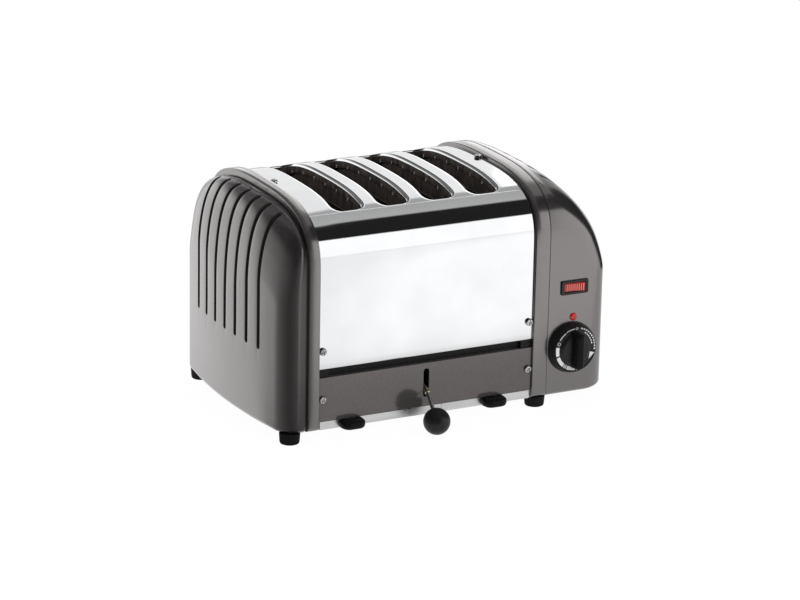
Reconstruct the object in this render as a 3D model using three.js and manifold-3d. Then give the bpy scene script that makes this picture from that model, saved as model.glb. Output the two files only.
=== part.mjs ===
// Four-slot toaster: cast ends, sheet-metal body, lever-lifted toast rack, timer and crumb trays.
// Millimetres, +Z up, front towards -Y. The origin is the middle of the whole part's footprint.
import * as THREE from 'three';
import { mergeVertices } from 'three/addons/utils/BufferGeometryUtils.js';
import Module from 'manifold-3d';

const wasm = await Module();
wasm.setup();

// Driving dimensions of the body
const bodyWidth = 360;
const bodyDepth = 224;
const bodyHeight = 224;
const footHeight = 10.5;
const leftCastingWidth = 45.7;
const rightCastingWidth = 89.3;
const archRise = 64;
const archFullnessShare = 3;
const clearance = 0.3;
const overrun = 2;

// End castings
const castingWall = 5;
const castingFloor = 3;
const endBulge = 10;
const endCornerShare = 2;
const shoulderDrop = 117;
const leftCornerRadius = 15.6;
const leftShoulderBelow = 26.3;
const leftShoulderReach = 31;
const leftShoulderShares = { soft: 1.3, ease: 1.53, full: 2.91 };
const rightCornerRadius = 17.6;
const rightShoulderBelow = 30.7;
const rightShoulderReach = 72.3;
const rightShoulderShares = { soft: 0.17, ease: 1.23, full: 1.7 };
const bottomRadius = 6;
const leftFlangeWidth = 11.5;
const leftGrooveWidth = 3;
const leftGrooveDepth = 4.5;
const leftBodyStep = 1.1;
const leftCrownStep = 6.4;
const leftNeckDrop = 4;
const seamOffset = 14.6;
const seamWidth = 1;
const seamDepth = 0.8;
const ribCount = 7;
const ribPitch = 22.4;
const ribWidth = 4.6;
const ribDepth = 3.6;
const ribBottom = 84;
const leftRibRun = 27;
const rightRibRun = 64;

// Sheet-metal skin between the castings
const skinInset = 3;
const skinThickness = 1.2;
const jointMargin = 2.5;
const jointGap = 0.5;
const chromeBottom = 69.5;
const lowerPanelTop = 61.5;
const turnedEdge = 4;

// Toast slots
const slotCount = 4;
const slotMarginLeft = 29.35;
const slotMarginRight = 24.75;
const slotWidth = 29;
const slotLength = 160;
const slotCornerRadius = 8;
const slotLipDepth = 10;
const slotLipThickness = 1.2;

// Bulkheads, carriers and the rail behind the lower panel
const bulkheadThickness = 1.5;
const bulkheadRim = 11;
const carrierThickness = 1.5;
const carrierMargin = 4;
const carrierBottom = 100;
const carrierTopGap = 22;
const railThickness = 1.5;
const railBottom = 58.5;
const railTop = 74;

// Heating elements and bread guards
const elementThickness = 13;
const elementSheet = 1.5;
const elementBottom = 104;
const elementTopGap = 24;
const guardWire = 2;
const guardBottom = 109;
const guardTopGap = 27;
const guardUprights = 5;

// Chassis and crumb trays
const chassisTop = 20.5;
const chassisThickness = 1.5;
const runnerBottom = 10.8;
const runnerLip = 5;
const runnerThickness = 1;
const spineWidth = 33;
const windowMargin = 12;
const windowStrip = 16;
const windowFrontMargin = 14;
const trayWall = 1;
const trayRearGap = 12;
const trayLipBottom = 10.9;
const tabWidth = 24;
const tabReach = 13;
const tabThickness = 8;
const tabCornerRadius = 8;
const leftTabInset = 33.7;
const rightTabInset = 41.7;

// Eject lever
const leverPivotInset = 32;
const leverPivotZ = 56.8;
const leverRestDegrees = 37;
const leverRodDiameter = 4;
const leverArmDiameter = 5;
const leverArmLength = 54;
const leverHubDiameter = 12;
const leverHubWidth = 8;
const leverRollerDiameter = 7;
const leverRollerWidth = 14;
const pivotPinDiameter = 5;
const pivotPinLength = 20;
const bracketWall = 2;
const bracketDepth = 18;
const ballDiameter = 25.6;
const ballAside = 3;
const ballStandOff = 25.5;
const ballZ = 13.4;
const ballBoreDepth = 9;
const bushDiameter = 5.4;
const bushLength = 6;
const bushDistance = 37;
const leverSlotWidth = 6;
const leverSlotBottom = 28;
const leverSlotTop = 56.2;

// Toast rack and its guide rods
const rackCrossY = 31;
const rackCrossDepth = 22;
const rackCrossThickness = 1.5;
const rackCrossGap = 0.4;
const rackBarTop = 126;
const rackBarHeight = 5;
const rackBarWidth = 3;
const rackBarMargin = 14;
const rackProngReach = 20;
const rackProngs = 3;
const rackProngSize = 3;
const rackOverhang = 6;
const rodDiameter = 5;
const rodBushDiameter = 11;
const rodBushHeight = 12;
const rodRunningGap = 0.4;

// Timer, rocker switch and indicator
const controlInset = 46.8;
const knobInset = 48.4;
const knobZ = 57.5;
const knobDiameter = 50.5;
const knobSkirtHeight = 8;
const knobCoreDiameter = 32;
const knobGripWidth = 9;
const knobGripLength = 36;
const knobGripHeight = 13;
const spindleDiameter = 6;
const spindleInside = 12;
const timerWidth = 40;
const timerShift = -8;
const timerHeight = 44;
const timerDepth = 30;
const switchZ = 117.3;
const bezelWidth = 29.6;
const bezelHeight = 14;
const bezelDepth = 2;
const bezelCornerRadius = 1.6;
const switchBodyWidth = 26;
const switchBodyHeight = 11;
const switchBodyDepth = 22;
const rockerWidth = 20;
const rockerHeight = 8.2;
const rockerDepth = 6.5;
const rockerPocketDepth = 10;
const rockerTiltDegrees = 6;
const rockerPivotDepth = 4.5;
const trunnionDiameter = 2.4;
const trunnionReach = 0.8;
const pipZ = 87.5;
const pipDiameter = 7.6;
const pipHeight = 1.6;
const pipStemDiameter = 4;
const pipDomeShares = [[0.9, 0.6], [0.55, 0.92]];

// Feet, screws and cable gland
const footDiameter = 20;
const footTaper = 1.2;
const footRecessDiameter = 9;
const footRecessDepth = 3;
const footPlugDiameter = 8;
const footLeftInset = 21;
const footRightInset = 80;
const footDepthInset = 11.5;
const screwHeadDiameter = 7.4;
const screwHeadHeight = 2.3;
const screwShankDiameter = 3.6;
const screwShankLength = 6;
const screwFromEdge = 4.2;
const screwDomeShares = [[0.94, 0.55], [0.6, 1]];
const chromeScrewZ = 87.5;
const lowerScrewZ = 40.7;
const glandInset = 40;
const glandZ = 35;
const glandFlangeDiameter = 22;
const glandFlangeThickness = 4;
const glandDomeDiameter = 16;
const glandReach = 8.3;
const glandShankDiameter = 14;
const glandBore = 7.5;

// Facets
const archSteps = 18;
const roundSteps = 5;
const faceSteps = 2;
const cornerSteps = 3;
const hollowArchSteps = 10;
const hollowRoundSteps = 2;
const hollowFaceSteps = 1;
const turnSteps = 18;
const smallTurnSteps = 10;
const screwSteps = 8;

// Places worked out from the driving dimensions
const halfWidth = bodyWidth / 2;
const halfDepth = bodyDepth / 2;
const springing = bodyHeight - archRise;
const leftFace = -halfWidth + leftCastingWidth;
const rightFace = halfWidth - rightCastingWidth;
const middleX = (leftFace + rightFace) / 2;
const skinLeft = leftFace + clearance;
const skinRight = rightFace - clearance;
const skinFront = -halfDepth + skinInset;
const skinBack = -skinFront;
const skinBehind = skinFront + skinThickness;
const rimInset = skinInset + skinThickness + clearance;
const innerLeft = skinLeft + bulkheadThickness + clearance;
const innerRight = skinRight - bulkheadThickness - clearance;
const betweenRimsLeft = skinLeft + bulkheadRim + clearance;
const betweenRimsRight = skinRight - bulkheadRim - clearance;
const castingFront = -halfDepth;
const castingInside = castingFront + castingWall;
const chassisBottom = chassisTop - chassisThickness;
const lowerPanelBottom = chassisBottom;
const jointHalfDepth = slotLength / 2 + jointMargin;
const carrierInnerHalf = slotLength / 2 + carrierMargin;
const carrierTop = bodyHeight - carrierTopGap;
const elementTop = bodyHeight - elementTopGap;
const guardTop = bodyHeight - guardTopGap;
const trayRear = halfDepth - trayRearGap;
const firstSlot = leftFace + slotMarginLeft + slotWidth / 2;
const lastSlot = rightFace - slotMarginRight - slotWidth / 2;
const slotPitch = (lastSlot - firstSlot) / (slotCount - 1);
const slotCentres = repeat(slotCount, (i) => firstSlot + i * slotPitch);
const elementCentres = repeat(slotCount + 1, (i) => firstSlot + (i - 1 / 2) * slotPitch);
const controlX = halfWidth - controlInset;
const knobX = halfWidth - knobInset;
const glandX = halfWidth - glandInset;
const footLeftX = -halfWidth + footLeftInset;
const footRightX = halfWidth - footRightInset;
const footY = halfDepth - footDepthInset;
const leverX = middleX;
const leverPivotY = castingFront + leverPivotInset;
const ballX = leverX - ballAside;
const ballY = castingFront - ballStandOff;
const rackBarHalf = slotLength / 2 - rackBarMargin;
const screwXs = [leftFace + screwFromEdge, rightFace - screwFromEdge];
const leverRest = THREE.MathUtils.degToRad(leverRestDegrees);
const rollerY = leverPivotY + leverArmLength * Math.cos(leverRest);
const rollerZ = leverPivotZ + leverArmLength * Math.sin(leverRest);
const rackCrossBottom = rollerZ + leverRollerDiameter / 2 + rackCrossGap;
const rackCrossTop = rackCrossBottom + rackCrossThickness;
const rodCentres = [[elementCentres[1], -rackCrossY], [elementCentres[3], rackCrossY]];

// Materials
const paint = new THREE.MeshStandardMaterial({ color: 0x6b6664, roughness: 0.35, metalness: 0.6 });
const chrome = new THREE.MeshStandardMaterial({ color: 0xe6e7ea, roughness: 0.08, metalness: 1 });
const zinc = new THREE.MeshStandardMaterial({ color: 0xb9babd, roughness: 0.35, metalness: 0.9 });
const blackPaint = new THREE.MeshStandardMaterial({ color: 0x161617, roughness: 0.6, metalness: 0.1 });
const blackGloss = new THREE.MeshStandardMaterial({ color: 0x141416, roughness: 0.15, metalness: 0 });
const rubber = new THREE.MeshStandardMaterial({ color: 0x1b1b1c, roughness: 0.85, metalness: 0 });
const brass = new THREE.MeshStandardMaterial({ color: 0xc9a15a, roughness: 0.3, metalness: 1 });
const mica = new THREE.MeshStandardMaterial({ color: 0x4a3b31, roughness: 0.7, metalness: 0.1 });
const redLens = new THREE.MeshStandardMaterial({ color: 0xc8302c, roughness: 0.25, metalness: 0 });

// Small tools

/** A list of count values, each made from its index. */
function repeat(count, make) {
  return Array.from({ length: count }, (_, i) => make(i));
}

/** A solid from bare corner positions and triangles, without triangles that have no area. */
function solidFrom(positions, triangles) {
  const bare = new THREE.BufferGeometry();
  bare.setAttribute('position', new THREE.Float32BufferAttribute(positions, 3));
  bare.setIndex(triangles);
  return solid(bare);
}

/** A closed three.js geometry as a solid that can be joined and cut. */
function solid(geometry) {
  const bare = geometry.clone();
  bare.deleteAttribute('normal');
  bare.deleteAttribute('uv');
  const welded = mergeVertices(bare);
  const kept = [];
  const index = welded.index.array;
  for (let i = 0; i < index.length; i += 3) {
    const [a, b, c] = [index[i], index[i + 1], index[i + 2]];
    if (a !== b && b !== c && c !== a) kept.push(a, b, c);
  }
  const mesh = new wasm.Mesh({
    numProp: 3,
    vertProperties: new Float32Array(welded.attributes.position.array),
    triVerts: new Uint32Array(kept),
  });
  return new wasm.Manifold(mesh);
}

/** All the solids in a list as one. */
function joined(solids) {
  return solids.reduce((whole, next) => whole.add(next));
}

/** A box between two corners. */
function box(x0, x1, y0, y1, z0, z1) {
  const geometry = new THREE.BoxGeometry(x1 - x0, y1 - y0, z1 - z0);
  return solid(geometry.translate((x0 + x1) / 2, (y0 + y1) / 2, (z0 + z1) / 2));
}

/** An outline of points, or a shape, pushed straight to the given length. */
function extruded(outline, length) {
  const shape = Array.isArray(outline) ? new THREE.Shape(outline) : outline;
  return new THREE.ExtrudeGeometry(shape, { depth: length, bevelEnabled: false, curveSegments: cornerSteps });
}

/** An outline in Y and Z pushed along X. */
function prismX(outline, x0, x1) {
  const turn = new THREE.Matrix4().makeBasis(
    new THREE.Vector3(0, 1, 0), new THREE.Vector3(0, 0, 1), new THREE.Vector3(1, 0, 0));
  return solid(extruded(outline, x1 - x0).applyMatrix4(turn).translate(x0, 0, 0));
}

/** An outline in X and Z pushed along Y. */
function prismY(outline, y0, y1) {
  return solid(extruded(outline, y1 - y0).rotateX(Math.PI / 2).translate(0, y1, 0));
}

/** An outline in X and Y pushed along Z. */
function prismZ(outline, z0, z1) {
  return solid(extruded(outline, z1 - z0).translate(0, 0, z0));
}

/** A rectangle with rounded corners about a centre. */
function roundedRectangle(cx, cy, width, height, radius) {
  const x = cx - width / 2;
  const y = cy - height / 2;
  const shape = new THREE.Shape();
  shape.moveTo(x + radius, y);
  shape.lineTo(x + width - radius, y);
  shape.absarc(x + width - radius, y + radius, radius, -Math.PI / 2, 0);
  shape.lineTo(x + width, y + height - radius);
  shape.absarc(x + width - radius, y + height - radius, radius, 0, Math.PI / 2);
  shape.lineTo(x + radius, y + height);
  shape.absarc(x + radius, y + height - radius, radius, Math.PI / 2, Math.PI);
  shape.lineTo(x, y + radius);
  shape.absarc(x + radius, y + radius, radius, Math.PI, Math.PI * 3 / 2);
  return shape;
}

/** A profile of [radius, height] pairs turned about Z. */
function turned(profile, steps = turnSteps) {
  const points = profile.map(([radius, height]) => new THREE.Vector2(radius, height));
  return solid(new THREE.LatheGeometry(points, steps).rotateX(Math.PI / 2));
}

/** A round bar about Z from z0 to z1. */
function rod(diameter, z0, z1, steps = smallTurnSteps) {
  return turned([[0, z0], [diameter / 2, z0], [diameter / 2, z1], [0, z1]], steps);
}

/** A round bar from one point to another. */
function bar(diameter, from, to, steps = smallTurnSteps) {
  const start = new THREE.Vector3(...from);
  const run = new THREE.Vector3(...to).sub(start);
  const geometry = new THREE.CylinderGeometry(diameter / 2, diameter / 2, run.length(), steps);
  geometry.translate(0, run.length() / 2, 0);
  const aim = new THREE.Quaternion().setFromUnitVectors(new THREE.Vector3(0, 1, 0), run.clone().normalize());
  return solid(geometry.applyQuaternion(aim).translate(...from));
}

/** A ball about a centre. */
function ball(diameter, centre, steps = turnSteps) {
  return solid(new THREE.SphereGeometry(diameter / 2, steps, steps / 2).translate(...centre));
}

/** A named piece from a solid. */
function piece(name, shape, material) {
  const { vertProperties, triVerts } = shape.getMesh();
  const geometry = new THREE.BufferGeometry();
  geometry.setAttribute('position', new THREE.Float32BufferAttribute(vertProperties, 3));
  geometry.setIndex(new THREE.Uint32BufferAttribute(triVerts, 1));
  geometry.computeVertexNormals();
  const mesh = new THREE.Mesh(geometry, material);
  mesh.name = name;
  return mesh;
}

/** The same mesh at another place. */
function copyAt(mesh, name, x, y, z) {
  const copy = mesh.clone();
  copy.name = name;
  copy.position.set(x, y, z);
  return copy;
}

// The arch that the castings, the skin and the bulkheads share

/** The arch outline in Y and Z from the rear foot over the top to the front foot, drawn in by inset. */
function archOutline(inset, bottom, steps = archSteps, crownStep = 0) {
  const across = halfDepth - inset;
  const rise = archRise - inset - crownStep;
  const power = 2 / archFullnessShare;
  const points = [new THREE.Vector2(across, bottom)];
  for (let i = 0; i <= steps; i++) {
    const turn = Math.PI * i / steps;
    const c = Math.cos(turn);
    points.push(new THREE.Vector2(
      across * Math.sign(c) * Math.abs(c) ** power, springing + rise * Math.sin(turn) ** power));
  }
  points.push(new THREE.Vector2(-across, bottom));
  return points;
}

/** A bar of arch section. */
function archBar(inset, bottom, x0, x1) {
  return prismX(archOutline(inset, bottom), x0, x1);
}

/** A sheet bent to the arch. */
function archSheet(inset, thickness, x0, x1, innerSteps = archSteps) {
  const underside = archOutline(inset + thickness, footHeight - overrun, innerSteps);
  const inside = prismX(underside, x0 - overrun, x1 + overrun);
  return archBar(inset, footHeight, x0, x1).subtract(inside);
}

// End castings, each built with its end facing +X and its cut face at zero

const fine = { arch: archSteps, round: roundSteps, face: faceSteps };
const coarse = { arch: hollowArchSteps, round: hollowRoundSteps, face: hollowFaceSteps };

const leftEnd = {
  reach: leftCastingWidth,
  corner: leftCornerRadius,
  shoulderStart: springing - leftShoulderBelow,
  shoulderReach: leftShoulderReach,
  shares: leftShoulderShares,
  ribRun: leftRibRun,
};
const rightEnd = {
  reach: rightCastingWidth,
  corner: rightCornerRadius,
  shoulderStart: springing - rightShoulderBelow,
  shoulderReach: rightShoulderReach,
  shares: rightShoulderShares,
  ribRun: rightRibRun,
};

/** Side points where the lower edge rounds in and at the levels where the shoulder begins, then the arch. */
function endOutline(inset, bottom, steps, crownStep, levels) {
  const radius = Math.max(bottomRadius - inset, 0);
  const foot = [];
  for (let i = 0; i < steps.round; i++) {
    const turn = Math.PI / 2 * i / steps.round;
    foot.push({ z: bottom + radius * (1 - Math.cos(turn)), drawn: radius * (1 - Math.sin(turn)) });
  }
  for (const z of [bottom + radius, ...levels]) foot.push({ z, drawn: 0 });
  const side = (sign) => foot.map(({ z, drawn }) => ({ y: sign * (halfDepth - inset - drawn), z, drawn }));
  const arch = archOutline(inset, bottom, steps.arch, crownStep)
    .slice(1, -1)
    .map((point) => ({ y: point.x, z: point.y, drawn: 0 }));
  return [...side(1), ...arch, ...side(-1).reverse()];
}

/** The closed body of an end: the arch carried to its reach, rounded over into a bulging end face. */
function endBody(end, options = {}) {
  const { inset = 0, step = 0, crownStep = 0, bottom = footHeight, start = 0, steps = fine } = options;
  const drawnIn = inset + step;
  const top = bodyHeight - drawnIn - crownStep;
  const pullZ = bodyHeight - step - crownStep - shoulderDrop;
  const { corner, shoulderStart, shoulderReach, shares } = end;
  const levels = [pullZ, shoulderStart, (shoulderStart + springing) / 2];
  const outline = endOutline(drawnIn, bottom, steps, crownStep, levels);
  const rings = 2 + steps.round + steps.face;
  const positions = [];
  for (const { y, z, drawn } of outline) {
    const centreZ = Math.min(z, pullZ);
    const far = Math.hypot(y, z - centreZ);
    const rise = Math.max(0, (z - shoulderStart) / (top - shoulderStart));
    const height = rise * rise * (1 + shares.soft) / (rise + shares.soft);
    const drop = THREE.MathUtils.lerp(corner, shoulderDrop, height) - inset;
    const depth = THREE.MathUtils.lerp(corner, shoulderReach, height ** shares.ease) - inset;
    const power = 2 / THREE.MathUtils.lerp(endCornerShare, shares.full, height);
    const place = (distance, back) => {
      const share = 1 - Math.min(distance, far) / far;
      const py = y * share;
      const bulge = endBulge * (py / halfDepth) ** 2;
      positions.push(end.reach - inset - drawn - bulge - back, py, centreZ + (z - centreZ) * share);
    };
    positions.push(start, y, z);
    for (let k = 0; k <= steps.round; k++) {
      const turn = Math.PI / 2 * k / steps.round;
      place(drop * (1 - Math.cos(turn) ** power), depth * (1 - Math.sin(turn) ** power));
    }
    for (let k = 1; k <= steps.face; k++) {
      place(THREE.MathUtils.lerp(Math.min(drop, far), far, k / steps.face), 0);
    }
  }
  const triangles = [];
  const at = (i, k) => i * rings + k;
  for (let i = 0; i + 1 < outline.length; i++) {
    for (let k = 0; k + 1 < rings; k++) {
      triangles.push(at(i, k), at(i + 1, k + 1), at(i, k + 1), at(i, k), at(i + 1, k), at(i + 1, k + 1));
    }
  }
  const cutCentre = positions.length / 3;
  positions.push(start, 0, springing, start, 0, bottom);
  const foot = cutCentre + 1;
  const last = outline.length - 1;
  for (let i = 0; i < last; i++) triangles.push(cutCentre, at(i + 1, 0), at(i, 0));
  triangles.push(cutCentre, foot, at(last, 0), cutCentre, at(0, 0), foot);
  for (let k = 0; k + 1 < rings; k++) {
    triangles.push(foot, at(0, k), at(0, k + 1), foot, at(last, k + 1), at(last, k));
  }
  return solidFrom(positions, triangles);
}

/** The grooves of an end, from the flat of the face up over the shoulder. */
function endGrooves(end, step, crownStep) {
  const cuts = repeat(ribCount, (i) => {
    const y = (i - (ribCount - 1) / 2) * ribPitch;
    const half = ribWidth / 2;
    const shape = new THREE.Shape();
    shape.moveTo(y + half, bodyHeight + overrun);
    shape.lineTo(y - half, bodyHeight + overrun);
    shape.lineTo(y - half, ribBottom + half);
    shape.absarc(y, ribBottom + half, half, Math.PI, Math.PI * 2);
    return prismX(shape, end.reach - end.ribRun, end.reach + overrun);
  });
  return joined(cuts).subtract(endBody(end, { inset: ribDepth, step, crownStep, start: -overrun }));
}

/** A hollow end casting with its floor, before grooves and holes. */
function hollowed(casting, end, step, crownStep) {
  const bottom = footHeight + castingFloor;
  const options = { inset: castingWall, step, crownStep, bottom, start: -overrun, steps: coarse };
  return casting.subtract(endBody(end, options));
}

/** The hole for a foot's plug through a casting's floor. */
function footHole(x, y) {
  return rod(footPlugDiameter + 2 * clearance, footHeight - overrun, footHeight + castingFloor + overrun)
    .translate([x, y, 0]);
}

/** The left end: a flange, a dark groove behind it, and the grooved end body a step lower. */
function leftCasting() {
  const bodyStart = leftFlangeWidth + leftGrooveWidth;
  const between = (x0, x1) => box(x0, x1, -bodyDepth, bodyDepth, 0, bodyHeight + overrun);
  const flange = endBody(leftEnd).intersect(between(0, leftFlangeWidth));
  const neck = endBody(leftEnd, { step: leftGrooveDepth, crownStep: leftNeckDrop })
    .intersect(between(0, bodyStart));
  const end = endBody(leftEnd, { step: leftBodyStep, crownStep: leftCrownStep })
    .intersect(between(bodyStart, bodyWidth));
  const shell = hollowed(joined([flange, neck, end]), leftEnd, leftBodyStep, leftCrownStep)
    .subtract(endGrooves(leftEnd, leftBodyStep, leftCrownStep));
  const holes = [1, -1].map((side) => footHole(leftFace - footLeftX, side * footY));
  const mesh = piece('left_end_casting', shell.subtract(joined(holes)), paint);
  mesh.position.x = leftFace;
  mesh.rotation.z = Math.PI;
  return mesh;
}

/** The right end: the housing of the timer and the switch. */
function rightCasting() {
  const seam = box(seamOffset, seamOffset + seamWidth, -bodyDepth, bodyDepth, 0, bodyHeight + overrun)
    .subtract(endBody(rightEnd, { inset: seamDepth, start: -overrun }));
  const shell = hollowed(endBody(rightEnd), rightEnd, 0, 0)
    .subtract(endGrooves(rightEnd, 0, 0))
    .subtract(seam);
  const x = controlX - rightFace;
  const outside = castingFront - overrun;
  const inside = castingInside + overrun;
  const hole = (diameter, at, z) => bar(diameter + 2 * clearance, [at, outside, z], [at, inside, z], turnSteps);
  const switchAside = switchBodyWidth / 2 + clearance;
  const switchAbove = switchBodyHeight / 2 + clearance;
  const switchHole = box(x - switchAside, x + switchAside, outside, inside,
    switchZ - switchAbove, switchZ + switchAbove);
  const glandHole = bar(glandShankDiameter + 2 * clearance, [glandX - rightFace, -inside, glandZ],
    [glandX - rightFace, -outside, glandZ], turnSteps);
  const feet = [1, -1].map((side) => footHole(footRightX - rightFace, side * footY));
  const spindleHole = hole(spindleDiameter, knobX - rightFace, knobZ);
  const holes = [spindleHole, hole(pipStemDiameter, x, pipZ), switchHole, glandHole, ...feet];
  const mesh = piece('right_end_casting', shell.subtract(joined(holes)), paint);
  mesh.position.x = rightFace;
  return mesh;
}

// Skin

/** Clearance holes for the screws that stand on Y through a sheet at the front. */
function frontScrewHoles(z) {
  return joined(screwXs.map((x) => bar(screwShankDiameter + 2 * clearance,
    [x, -halfDepth, z], [x, skinBehind + bulkheadRim, z])));
}

/** Clearance holes for the two screws on the crown. */
function topScrewHoles() {
  return joined(screwXs.map((x) => rod(screwShankDiameter + 2 * clearance,
    bodyHeight - bulkheadRim, bodyHeight + overrun).translate([x, 0, 0])));
}

/** The polished front, from its turned-in lower edge up to the joint with the top. */
function frontSkin() {
  const sheet = archSheet(skinInset, skinThickness, skinLeft, skinRight)
    .intersect(box(skinLeft - overrun, skinRight + overrun, -halfDepth, -jointHalfDepth - jointGap,
      chromeBottom, bodyHeight));
  const edge = box(betweenRimsLeft, betweenRimsRight, skinFront, skinBehind + turnedEdge,
    chromeBottom, chromeBottom + skinThickness);
  return sheet.add(edge).subtract(frontScrewHoles(chromeScrewZ));
}

/** The painted panel under it, with its upper edge turned in. */
function lowerSkin() {
  const sheet = box(skinLeft, skinRight, skinFront, skinBehind, lowerPanelBottom, lowerPanelTop);
  const edge = box(betweenRimsLeft, betweenRimsRight, skinFront, skinBehind + turnedEdge,
    lowerPanelTop - skinThickness, lowerPanelTop);
  return sheet.add(edge).subtract(frontScrewHoles(lowerScrewZ));
}

/** The slot that the lever moves in. */
function leverSlot() {
  const height = leverSlotTop - leverSlotBottom;
  const middle = leverSlotBottom + height / 2;
  const shape = roundedRectangle(leverX, middle, leverSlotWidth, height, leverSlotWidth / 2);
  return prismY(shape, -halfDepth, skinBehind + overrun);
}

/** The top with its four slots and their turned-down lips. */
function topSkin() {
  const within = (shape) => shape.intersect(box(skinLeft - overrun, skinRight + overrun,
    -jointHalfDepth, jointHalfDepth, springing, bodyHeight));
  const openings = slotCentres.map((x) => prismZ(
    roundedRectangle(x, 0, slotWidth, slotLength, slotCornerRadius), springing, bodyHeight + overrun));
  const collars = slotCentres.map((x) => prismZ(roundedRectangle(x, 0, slotWidth + 2 * slotLipThickness,
    slotLength + 2 * slotLipThickness, slotCornerRadius + slotLipThickness), springing, bodyHeight));
  const lips = joined(collars)
    .intersect(archSheet(skinInset, slotLipDepth, skinLeft, skinRight, hollowArchSteps));
  return within(archSheet(skinInset, skinThickness, skinLeft, skinRight).add(lips))
    .subtract(joined(openings))
    .subtract(topScrewHoles());
}

/** The same shape at the back. */
function atBack(shape) {
  return shape.mirror([0, 1, 0]);
}

// Frame inside

/** A pan-shaped bulkhead against a casting's cut face, its rim under the skin. */
function bulkhead(side) {
  const outer = side < 0 ? skinLeft : skinRight;
  const [plate0, plate1] = [outer, outer - side * bulkheadThickness].sort((a, b) => a - b);
  const [rim0, rim1] = [outer, outer - side * bulkheadRim].sort((a, b) => a - b);
  const bottom = chassisTop + clearance;
  const plate = archBar(rimInset, bottom, plate0, plate1);
  const rim = archBar(rimInset, bottom, rim0, rim1)
    .subtract(archBar(rimInset + bulkheadThickness, bottom - overrun, rim0 - overrun, rim1 + overrun));
  const front = joined([frontScrewHoles(chromeScrewZ), frontScrewHoles(lowerScrewZ)]);
  return plate.add(rim).subtract(front).subtract(atBack(front)).subtract(topScrewHoles());
}

/** The black rail that both front panels' turned edges rest on. */
function frontRail() {
  const front = skinBehind + turnedEdge + clearance;
  return box(innerLeft, innerRight, front, front + railThickness, railBottom, railTop);
}

/** The upright sheet that holds the ends of the elements and the guards. */
function carrier() {
  const outer = carrierInnerHalf + carrierThickness;
  return box(innerLeft, innerRight, carrierInnerHalf, outer, carrierBottom, carrierTop);
}

/** A heating element: two mica sheets on a spacer frame, open at the top and the bottom. */
function element() {
  const half = elementThickness / 2;
  const end = carrierInnerHalf - clearance;
  return box(-half, half, -end, end, elementBottom, elementTop)
    .subtract(box(-half + elementSheet, half - elementSheet, -end + elementSheet, end - elementSheet,
      elementBottom - overrun, elementTop + overrun));
}

/** A wire guard that keeps the bread off an element. */
function guard() {
  const end = carrierInnerHalf - clearance;
  const half = guardWire / 2;
  const rails = [guardBottom, guardTop].map((z) => box(-half, half, -end, end, z - half, z + half));
  const span = 2 * (end - slotCornerRadius);
  const uprights = repeat(guardUprights, (i) => {
    const y = span * (i / (guardUprights - 1) - 1 / 2);
    return box(-half, half, y - half, y + half, guardBottom, guardTop);
  });
  return joined([...rails, ...uprights]);
}

// Chassis and crumb trays

const spineLeft = leverX - spineWidth / 2;
const spineRight = leverX + spineWidth / 2;

/** The base: a plate with four crumb windows, runners down its sides and a spine under its middle. */
function chassis() {
  const back = -skinBehind - clearance;
  const front = -back;
  const plate = box(skinLeft, skinRight, front, back, chassisBottom, chassisTop);
  const bays = [[skinLeft, spineLeft, -rackCrossY], [spineRight, skinRight, rackCrossY]];
  const windows = bays.flatMap(([x0, x1, strip]) => {
    const [left, right] = [x0 + windowMargin, x1 - windowMargin];
    const cut = (y0, y1) => box(left, right, y0, y1, chassisBottom - overrun, chassisTop + overrun);
    const half = windowStrip / 2;
    return [cut(front + windowFrontMargin, strip - half), cut(strip + half, back - windowFrontMargin)];
  });
  const lipBack = trayRear;
  const runner = (x, inward) => {
    const web = [x, x + inward * chassisThickness].sort((a, b) => a - b);
    const lip = [x, x + inward * (chassisThickness + runnerLip)].sort((a, b) => a - b);
    return joined([
      box(...web, front, lipBack, runnerBottom, chassisTop),
      box(...lip, front, lipBack, runnerBottom, runnerBottom + runnerThickness),
    ]);
  };
  const face = box(spineLeft, spineRight, skinFront, front, runnerBottom, lowerPanelBottom - clearance);
  const spine = box(spineLeft, spineRight, front, lipBack, runnerBottom, chassisBottom)
    .add(face)
    .subtract(box(spineLeft + chassisThickness, spineRight - chassisThickness, skinFront + chassisThickness,
      lipBack + overrun, runnerBottom - overrun, chassisBottom));
  const spineLips = box(spineLeft - runnerLip, spineRight + runnerLip, front, lipBack,
    runnerBottom, runnerBottom + runnerThickness)
    .subtract(box(spineLeft + chassisThickness, spineRight - chassisThickness, front - overrun,
      lipBack + overrun, runnerBottom - overrun, chassisBottom));
  const base = plate.subtract(joined(windows));
  return joined([base, runner(skinLeft, 1), runner(skinRight, -1), spine, spineLips]);
}

/** A crumb tray between two runners, with a deeper lip at its front. */
function tray(x0, x1) {
  const floor = runnerBottom + runnerThickness + clearance;
  const top = chassisBottom - clearance;
  const lipBack = skinFront + trayWall;
  const pan = box(x0, x1, skinFront, trayRear, floor, top)
    .subtract(box(x0 + trayWall, x1 - trayWall, lipBack, trayRear - trayWall,
      floor + trayWall, top + overrun));
  return pan.add(box(x0, x1, skinFront, lipBack, trayLipBottom, top));
}

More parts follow.
